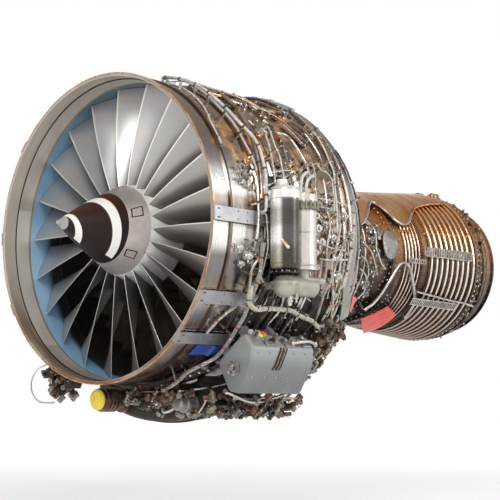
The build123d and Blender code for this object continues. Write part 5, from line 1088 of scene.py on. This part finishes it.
def make_bare_plates():
    """Plain covers, some on posts, and dark sheets under the tank's pipework that stand in for the shadow
    there.
    """
    level = .478
    red = Piece("red_cover", "red")
    red.sheet(None, [(148.4, 1.95), (132.6, 2.096), (140.7, 2.248), (174.4, 2.237)], level, .004, 14)
    for clock, y in ((148, 1.99), (137, 2.1), (144, 2.2), (164, 2.17)):
        foot = skin(CORE, clock, y, MID_CORE_R)
        DARK_BOLTS.lathe(at(clock, y, foot), outward(clock), [(.006, -.004), (.006, level - foot)], 8)
    for clock, y in ((150, 2), (136, 2.11), (143, 2.21), (166, 2.2), (158, 2.22)):
        BOLTS.rivet(at(clock, y, level + .004), outward(clock), .004)
    for name, finish, lift, thick, corners in (
            ("pale_guard", "moss", .03, .006, [(110.5, 1.03), (111.4, 1.1), (120.9, 1.18), (122.5, 1.1)]),
            ("red_flag", "red", .034, .004, [(112.8, 1.125), (113.4, 1.19), (119.5, 1.235), (119, 1.165)]),
            ("blue_cover", "blue", .003, .004, [(140, .2), (139.5, .38), (145, .38), (145.5, .2)])):
        Piece(name, finish).sheet(SHELL, corners, lift, thick)
    for clock, y in ((112, 1.07), (121, 1.13), (117, 1.185)):
        DARK_BOLTS.lathe(on(SHELL, clock, y), outward(clock), [(.005, -.002), (.005, .03)], 8)
    # Dark sheets that stand in for the shadow between the tank and the case
    DARK_PARTS.sheet(SHELL, [(121, .42), (121, .68), (152, .68), (148, .42)], .004, .003)
    DARK_PARTS.sheet(SHELL, [(112, .73), (112, 1.1), (150, 1.1), (150, .73)], .004, .003, 12)


def dress_fairing():
    """Two framed pockets of the annulus fairing."""
    fairing = tree_of("annulus_fairing")
    frames = Piece("pocket_frames", "dark", "low_pressure_spool")
    covers = Piece("pocket_covers", "rose", "low_pressure_spool")
    cover_share = .78
    for corners in ([(63, .056), (61, .118), (76, .112), (78, .05)],
            [(128.5, .05), (126.5, .108), (139.5, .112), (141.5, .056)]):
        frames.sheet(fairing, corners, -.0005, .0012)
        spots = [Vector(corner) for corner in corners]
        middle = sum(spots, Vector((0, 0))) / len(spots)
        covers.sheet(fairing, [middle.lerp(spot, cover_share) for spot in spots], -.0003, .002)


def dress_main_pipe():
    """Joint sleeves and black bands of the large air pipe."""
    stops = [(-36, .47), (-14, .53), (18, .56), (42, .47), (64, .4), (82, .352)]
    path = [at(*spot, CASE_R + .0225) for spot in unrolled(stops, .05, .012)]
    for share in (.12, .26, .4, .52, .64, .76, .88):
        i = round(share * len(path))
        band(BANDS["black"], path, i, .015, .014)
        band(BANDS["steel"], path, i + 2, .0142, .02)


def dress_vessels():
    """Head flange, tubes, covers and bolts of the upright vessels."""
    exchanger = Vector((.912, .594, 0))
    canister = Vector((.93, .432, 0))
    bowl = Vector((.896, .47, -.262))
    head_r, neck_r = .0835, .078
    for level in (.106, .072):
        for spot in circle(exchanger + UP * level, ACROSS, AFT, .077, 16):
            BOLTS.bolt(spot, UP, .0042)
    OLIVE_PARTS.lathe(exchanger + UP * .07, UP, [(head_r, 0), (head_r, .01), (neck_r, .013), (neck_r, .024),
        (head_r, .027), (head_r, .036)], 40)
    for spot in circle(exchanger + UP * .066, ACROSS, AFT, .082, 20):
        OLIVE_PARTS.lathe(spot, UP, [(.0075, 0), (.0075, .042), (.005, .046)], 8)
    for y, rise in ((.56, .1), (.602, .085)):
        free_pipe("white", .0085, [(.93, y, .1), (.93, y, .13 + rise), (.905, y + .07, .175 + rise),
            (.86, y + .15, .19 + rise), (.82, y + .17, .18 + rise)])
    for level in (-.23, -.06, .055):
        RIMS.lathe(exchanger + UP * level, UP, [(.0735, 0), (.0755, .002), (.0755, .008), (.0735, .01)], 40)
    for turn in (.3, 2, 3.7, 5.4):
        BOLTS.bolt(canister + Vector((math.cos(turn) * .05, math.sin(turn) * .05, .172)), UP, .005)
    NUTS.lathe(canister + UP * .17, UP, [(.026, 0), (.026, .01), (.02, .012), (.02, .022)], 6)
    for *place, r in ((.91, .488, -.392, .014), (.885, .53, -.385, .01), (.93, .52, -.375, .009)):
        NUTS.lathe(Vector(place), -UP, [(r, -.012), (r, .016), (r * 1.3, .018), (r * 1.3, .028),
            (r * .7, .03), (r * .7, .046)], 10)
    DARK_BOLTS.lathe(bowl - UP * .01, UP, [(.0672, 0), (.0695, .001), (.0695, .004), (.0672, .005)], 40)
    for spot in circle(bowl, ACROSS, AFT, .067, 12):
        BOLTS.bolt(spot, spot - bowl, .0036)
    fitting = Vector((.964, .369, -.111))
    way = Vector((.42, .46, -.78)).normalized()
    BRASS_PARTS.lathe(fitting, way, [(.008, -.004), (.01, .002), (.01, .016), (.015, .018), (.015, .03)], 6)
    WHITE_PARTS.lathe(fitting + way * .03, way, [(.011, 0), (.012, .008), (.012, .02), (.008, .026)], 10)


def tank_face(y, z):
    """Point and normal of the tank's outer side at a station and height."""
    point, normal = TANK.ray_cast(Vector((FAR_OUT, y, z)), -ACROSS, FAR_OUT)[:2]
    return (point, normal) if point else (Vector((.8, y, z)), ACROSS)


def dress_tank():
    """Cover ring, slots, bolts, pipes and cap of the oil tank."""
    front = Vector((.672, .33, -.755))
    GREY_PARTS.lathe(front, -AFT, [(.04, -.004), (.04, .004), (.03, .006), (.03, .01), (.016, .012),
        (.016, .026)], 24)
    for spot in circle(front - AFT * .004, ACROSS, UP, .035, 8):
        BOLTS.bolt(spot, -AFT, .0036)
    for x, z in ((.015, .012), (-.012, -.02), (.024, -.018)):
        NUTS.lathe(front + Vector((x, -.01, z)), -AFT, [(.009, 0), (.009, .02), (.006, .024)], 6)
    for y, finish, r in ((.545, "dark", .0052), (.557, "warm_steel", .0034), (.569, "dark", .0052),
            (.583, "warm_steel", .003), (.595, "dark", .004)):
        slot = [tank_face(y - .0045 * k, -.648 - .0115 * k) for k in range(11)]
        TUBES[finish].sweep([spot + normal * .001 for spot, normal in slot], r)
    for k in range(5):
        for z in (-.676, -.8):
            BOLTS.bolt(*tank_face(.37 + .093 * k, z), .004)
    free_pipe("steel", .0085, [(.6, .34, -.872), (.6, .507, -.926), (.6, .575, -.931), (.61, .721, -.905),
        (.63, .839, -.865), (.64, .9, -.8)])
    free_pipe("steel", .008, [(.5, .55, -.975), (.52, .71, -.952), (.54, .8, -.945), (.58, .9, -.88),
        (.6, .93, -.78)])
    NUTS.lathe(Vector((.66, .835, -.775)), AFT, [(.016, 0), (.016, .03), (.022, .032), (.022, .05)])
    lean, down = Vector((.768, 0, .64)), Vector((.64, 0, -.768))
    shoulder = Vector((.771, 0, -.608))
    for i, (y, slide, r) in enumerate(((.455, -.02, .01), (.5, .012, .013), (.545, -.022, .009),
            (.59, .01, .014), (.64, -.018, .012), (.69, .016, .01), (.74, -.012, .015), (.785, .014, .009))):
        spot = shoulder + AFT * y + down * slide
        (GREY_PARTS, DARK_PARTS, OLIVE_PARTS)[i % 3].lathe(spot, lean, [(r * 1.5, -.008), (r * 1.5, .005),
            (r, .007), (r, .024), (r * .6, .028)])
        BOLTS.bolt(spot + down * r * 2.2, lean, .004)
        BOLTS.bolt(spot - AFT * r * 2, lean, .0036)
    for y, slide in ((.47, .03), (.62, .032), (.76, .028)):
        GREY_PARTS.slab(shoulder + AFT * y + down * slide + lean * .004, down, AFT, lean, (.03, .07, .014))
    WHITE_PARTS.lathe(Vector((.728, .395, -.585)), Vector((.1, -.1, .95)),
        [(.014, 0), (.014, .024), (.009, .03)])
    free_pipe("rose", .0085, [(.795, .64, -.622), (.812, .7, -.612), (.812, .77, -.606), (.79, .84, -.62)],
        .03)
    crown = shoulder + AFT * .4 + lean * .037
    collar, knob = Piece("cap_collar", "yellow", "filler_cap"), Piece("cap_knob", "red", "filler_cap")
    collar.lathe(crown, lean, [(.02, -.002), (.02, .004), (.014, .006)], 20)
    knob.lathe(crown + lean * .005, lean, [(.011, 0), (.012, .01), (.008, .014)], 14)


def fill_bottom():
    """Fittings and hoses round the gearbox."""
    for x, y, z, r in ((.1, .456, -.9, .02), (-.06, .456, -.93, .024), (.02, .456, -.99, .016),
            (.17, .456, -.99, .018), (-.14, .456, -.9, .016)):
        GREY_PARTS.lathe(Vector((x, y, z)), -AFT, [(r * 1.5, 0), (r * 1.5, .008), (r, .01), (r, .034),
            (r * .7, .04)], 16)
        for spot in circle(Vector((x, y - .008, z)), ACROSS, UP, r * 1.25, 5):
            BOLTS.bolt(spot, -AFT, .003)
    for finish, r, *points in (
            ("white", .007, (.2, .42, -.9), (.22, .36, -.96), (.15, .33, -.99), (.1, .38, -.95),
                (.09, .43, -.93)),
            ("white", .006, (.02, .43, -.9), (.04, .35, -.94), (.1, .31, -.95), (.13, .36, -.9),
                (.14, .43, -.89)),
            ("braid", .0075, (-.2, .4, -.88), (-.12, .33, -.93), (-.04, .31, -.9), (.02, .38, -.88)),
            ("steel", .006, (.26, .34, -.87), (.33, .4, -.86), (.4, .52, -.84), (.46, .6, -.8)),
            ("steel", .0055, (.3, .56, -.93), (.38, .66, -.92), (.46, .78, -.86), (.52, .9, -.78)),
            ("warm_steel", .007, (.1, .66, -.95), (.24, .74, -.93), (.38, .84, -.87), (.46, .98, -.78))):
        free_pipe(finish, r, points)
    for i in range(3):
        harness("black", 3, .0038, .006 + .006 * i, [(150 + i, .48 - .06 * i), (165, .42 - .05 * i),
            (182, .4 - .04 * i), (200, .36 - .03 * i), (222, .34)], "crimson")
    for clock, y in ((148, .46), (152, .4), (207, .24), (212, .3), (216, .22), (147, .66), (150, .74)):
        valve(GREY_PARTS, clock, y, 0, .016)
    for k in range(4):
        harness("white", 3, .0036, .01, [(205 + 3 * k, .13 + .03 * k), (212 + 3 * k, .2), (220 + 2 * k, .26),
            (230 + k, .3)], "crimson")


def clutter(low, high, count, pipes, reach_to):
    """Small fittings, blocks and lines that crowd a box between two corners, kept off the fan case."""
    kinds = (DARK_PARTS, BROWN_PARTS, GREY_PARTS, DARK_PARTS, BROWN_PARTS, DARK_PARTS, BROWN_PARTS,
        OLIVE_PARTS)
    ways = (-AFT, AFT, Vector((.8, -.5, .2)), Vector((.3, -.2, -.9)), Vector((-.4, -.6, -.5)))
    spots = []
    while len(spots) < count:
        spot = Vector([dice.uniform(a, b) for a, b in zip(low, high)])
        if BELLY_R < math.hypot(spot.x, spot.z) < reach_to:
            spots.append(spot)
    for i, spot in enumerate(spots):
        r = dice.uniform(.007, .016)
        way = dice.choice(ways).normalized()
        piece = kinds[i % len(kinds)]
        if i % 2:
            piece.lathe(spot - way * r * 1.5, way, [(r, 0), (r, r * 2.2), (r * 1.25, r * 2.3),
                (r * 1.25, r * 2.8), (r * .6, r * 2.9), (r * .6, r * 3.6)], 12)
        else:
            side = way.orthogonal().normalized()
            piece.slab(spot, side, way.cross(side), way, (r * 3.4, r * 2.2, r * 1.6))
            for shift in (side, -side):
                NUTS.bolt(spot + (way * .8 + shift) * r, way, r * .28)
        if i % 5 == 0:
            (BRASS_PARTS if i % 15 == 0 else NUTS).lathe(spot + way * r * .8, way,
                [(r * .5, 0), (r * .5, r), (r * .35, r * 1.3)], 6)
    finishes = ("steel", "brown", "cream", "dark", "steel", "warm_steel", "dark", "copper")
    for k in range(pipes):
        a, b, c = sorted(dice.sample(spots, 3), key=lambda spot: spot.y)
        free_pipe(finishes[k % len(finishes)], dice.uniform(.0034, .006), [a, a.lerp(b, .5) - UP * .01, b, c],
            .03)


def crowd_bottom():
    """Clutter round the tank, the gearbox and the starter."""
    clutter((.44, .5, -1), (.64, .92, -.895), 120, 30, 1.15)
    clutter((.18, .4, -1), (.46, .8, -.87), 130, 24, 1.085)
    clutter((-.06, .24, -.955), (.34, .42, -.868), 90, 18, .955)
    clutter((-.66, .16, -.955), (-.5, .3, -.745), 80, 14, 1.04)
    clutter((.62, .83, -.8), (.74, 1.02, -.64), 60, 16, 1.03)
    clutter((.7, .9, -.66), (.8, 1.12, -.5), 60, 14, .955)
    for *place, width in ((-.223, .3, -.832, .09), (.187, .4, -.849, .13)):
        DARK_PARTS.slab(Vector(place), ACROSS, AFT, -UP, (width, .1, .04))
    for turn in (209, 214, 219):
        DARK_PARTS.slab(at(turn, .23, .895), along_clock(turn), AFT, outward(turn), (.012, .1, .15))
    free_pipe("steel", .0042, [(-.62, .2, -.7), (-.72, .16, -.74), (-.745, .14, -.84), (-.7, .16, -.93),
        (-.62, .22, -.93)])


def fill_side():
    """Connector and valve clusters between the pipes."""
    for clock, y in ((72, .215), (74, .245), (76.5, .225), (78, .26), (75, .285), (71.5, .26), (79, .3)):
        plug(clock, y, .004, outward(clock) * .7 - AFT * .4 - along_clock(clock) * .3, .011)
    for clock, y in ((66, .555), (67.5, .58), (69, .61), (66, .63), (70.5, .575), (71, .635)):
        plug(clock, y, .008, outward(clock) + AFT * .3, .012)
    for clock, y, size in ((100.5, .2, .016), (103, .27, .02), (101, .32, .016), (106, .235, .014),
            (105, .31, .013)):
        valve(PALE_PARTS, clock, y, .004, size)
    for clock, y, size in ((86, .765, .021), (90.5, .765, .026), (88, .85, .017), (93, .88, .02),
            (95, .8, .024), (99, .77, .02), (100, .93, .018), (104, .8, .018), (85, .99, .016),
            (106, .95, .022), (91, 1.04, .016)):
        valve(PALE_PARTS, clock, y, .012, size)
    for i in range(46):
        clock = dice.uniform(60, 128)
        y = dice.uniform(.72, 1.16)
        pick = i % 4
        if pick == 0:
            valve((GREY_PARTS, DARK_PARTS, OLIVE_PARTS)[i % 3], clock, y, 0,
                dice.uniform(.009, .016))
        elif pick == 1:
            plug(clock, y, 0, outward(clock) + AFT * dice.uniform(-1, 1) + along_clock(clock)
                * dice.uniform(-1, 1), dice.uniform(.008, .012))
        else:
            bracket(clock, y, dice.uniform(.02, .045), dice.uniform(0, 3.1))
    DARK_PARTS.sheet(SHELL, [(72.5, .44), (72.5, .59), (78, .6), (78, .45)], .002, .004)


def dress_core():
    """Beads, ladders, links and bolt rings round the hot cases."""
    upper = [(1.74, .15), (1.786, .17), (1.867, .231), (1.945, .3), (2.04, .345), (2.092, .292),
        (2.135, .215), (2.2, .194), (2.262, .213), (2.347, .288), (2.44, .343), (2.62, .384), (2.8, .409)]
    edge = evenly(rounded([Vector(spot) for spot in upper], .06, 7), .01)
    bead_r = .0092
    steel_end = round(len(edge) * .62)
    for side in (1, -1):
        bead = []
        for y, z in edge:
            radius = shield_radius(y) + .003
            bead.append(Vector((side * math.sqrt(max(.01, radius ** 2 - z ** 2)), y, z)))
        TUBES["steel"].sweep(bead[:steel_end + 1], bead_r, 10)
        TUBES["copper"].sweep(bead[steel_end:], bead_r, 10)
    ladder(84, 90, 2.3, 2.79, .512)
    ladder(93, 96, 2.21, 2.34, .462)
    ladder(123, 128, 2.28, 2.74, .505)
    perforated_band()
    for y, count, size in ((2.915, 90, .006), (2.974, 70, .0046), (3.035, 60, .004)):
        for i in range(count):
            bolt_on(CORE, 360 * i / count, y, 0, size, EXHAUST_R)
    for clock in range(60, 160, 4):
        for y in (1.88, 2.03, 2.14):
            if dice.random() < .8:
                spot_y = y + dice.uniform(-.03, .03)
                bolt_on(CORE, clock, spot_y, 0, dice.uniform(.004, .007), MID_CORE_R)
    patch = Piece("core_cover", "grey")
    level = patch.disc(CORE, 83, 2.03, 12.5, .072, .002, .008)
    for clock, y in circle(Vector((83, 2.03)), Vector((11.6, 0)), Vector((0, .066)), 1, 18):
        BOLTS.bolt(at(clock, y, level), outward(clock), .0038)
    rim_clutter()
    for finish, r, *stops in (
            ("white", .006, (76, 1.3), (90, 1.381), (97, 1.504), (111, 1.636), (119, 1.657), (130, 1.7)),
            ("black", .007, (72, 1.28), (86, 1.36), (98, 1.48), (108, 1.6), (122, 1.68)),
            ("steel", .005, (60, 1.6), (78, 1.62), (92, 1.7), (100, 1.8), (112, 1.84)),
            ("white", .0045, (64, 1.84), (72, 1.9), (88, 1.88), (100, 1.94), (104, 1.99)),
            ("copper", .006, (56, 1.74), (66, 1.8), (70, 1.9), (64, 1.98)),
            ("steel", .0052, (104, 1.72), (112, 1.82), (126, 1.86), (140, 1.8)),
            ("steel", .0046, (108, 1.66), (118, 1.76), (132, 1.78), (150, 1.72)),
            ("warm_steel", .007, (84, 1.74), (90, 1.82), (98, 1.86), (110, 1.92))):
        pipe(finish, r, .03, stops, CORE, .12)
        if finish in ("white", "black"):
            pipe(finish, r, .026, [(-clock, y) for clock, y in stops], CORE, .12)
    for clock, y, size in ((70, 1.86, .022), (74, 1.93, .026), (80, 1.86, .018), (90, 1.9, .02),
            (99, 1.76, .022), (108, 1.9, .02), (118, 1.84, .024), (128, 1.9, .02), (64, 1.75, .02),
            (86, 1.72, .02), (104, 1.6, .02), (92, 1.58, .02), (76, 1.6, .02), (115, 1.55, .02)):
        valve(GREY_PARTS, clock, y, 0, size, CORE)
        valve(DARK_PARTS, -clock, y, 0, size, CORE)


def shield_radius(y):
    """Outer radius of the heat shield."""
    marks = ((0, .436), (2.08, .436), (2.35, .46), (2.905, .514), (9, .514))
    for (y_0, r_0), (y_1, r_1) in zip(marks, marks[1:]):
        if y <= y_1:
            return r_0 + (r_1 - r_0) * (y - y_0) / (y_1 - y_0)
    return r_1


def rim_clutter():
    """Brackets, bosses and pale bolts round the exhaust flanges and the dark lower core."""
    for i in range(64):
        clock = 360 * i / 64 + dice.uniform(-1.5, 1.5)
        y = dice.choice((2.925, 2.95, 2.985, 3.01))
        base = on(CORE, clock, y, 0, EXHAUST_R)
        out, across = outward(clock), along_clock(clock)
        high = dice.uniform(.01, .028)
        (GREY_PARTS, DARK_PARTS, BROWN_PARTS)[i % 3].slab(base + out * (high / 2 - .002), across, AFT, out,
            (dice.uniform(.012, .03), dice.uniform(.014, .03), high))
        if i % 2:
            NUTS.lathe(base + out * (high - .002), out, [(.007, 0), (.007, .008), (.005, .012)], 6)
    for y in (2.945, 3.06):
        TUBES["brown"].sweep([on(CORE, clock, y, .01, EXHAUST_R) for clock in range(0, 364, 4)], .0052)
    for y, first, last in ((2.135, 128, 172), (2.175, 130, 176), (2.215, 126, 178), (1.95, 118, 170),
            (1.9, 120, 166)):
        for clock in range(first, last, 4):
            foot = skin(CORE, clock, y, MID_CORE_R)
            for turn in (clock, -clock):
                BOLTS.rivet(at(turn, y, foot), outward(turn), .0062)


def ladder(clock_0, clock_1, y_0, y_1, radius):
    """Manifold of two rails and rungs that feeds the cooling tubes."""
    for clock in (clock_0, clock_1):
        rail = [at(clock, y_0, radius - .012), at(clock, y_1, radius + .012)]
        TUBES["steel"].sweep(evenly(rail, .02), .0042)
    middle = (clock_0 + clock_1) / 2
    width = math.radians(clock_1 - clock_0) * radius
    count = round((y_1 - y_0) / .018)
    for i in range(count + 1):
        spot = at(middle, y_0 + (y_1 - y_0) * i / count, radius - .012 + .024 * i / count)
        NUTS.slab(spot, along_clock(middle), AFT, outward(middle), (width, .007, .01))


def perforated_band():
    """Band with rows of pins between the two turbine cases."""
    for y, first in ((2.352, 0), (2.366, 1.2)):
        for i in range(150):
            clock = 2.4 * i + first
            DARK_BOLTS.rivet(on(CORE, clock, y, .004, PIN_BAND_R), outward(clock), .0052)


fit_fasteners()
dress_straps()
lay_front_pipes()
lay_harnesses()
lay_side_pipes()
lay_top_pipes()
make_side_panel()
make_bare_plates()
dress_fairing()
dress_main_pipe()
dress_vessels()
dress_tank()
fill_bottom()
crowd_bottom()
fill_side()
dress_core()
for piece in PIECES:
    piece.build()

dress_nodes()
make_camera()
make_studio()
bpy.context.scene.view_settings.view_transform = "Standard"
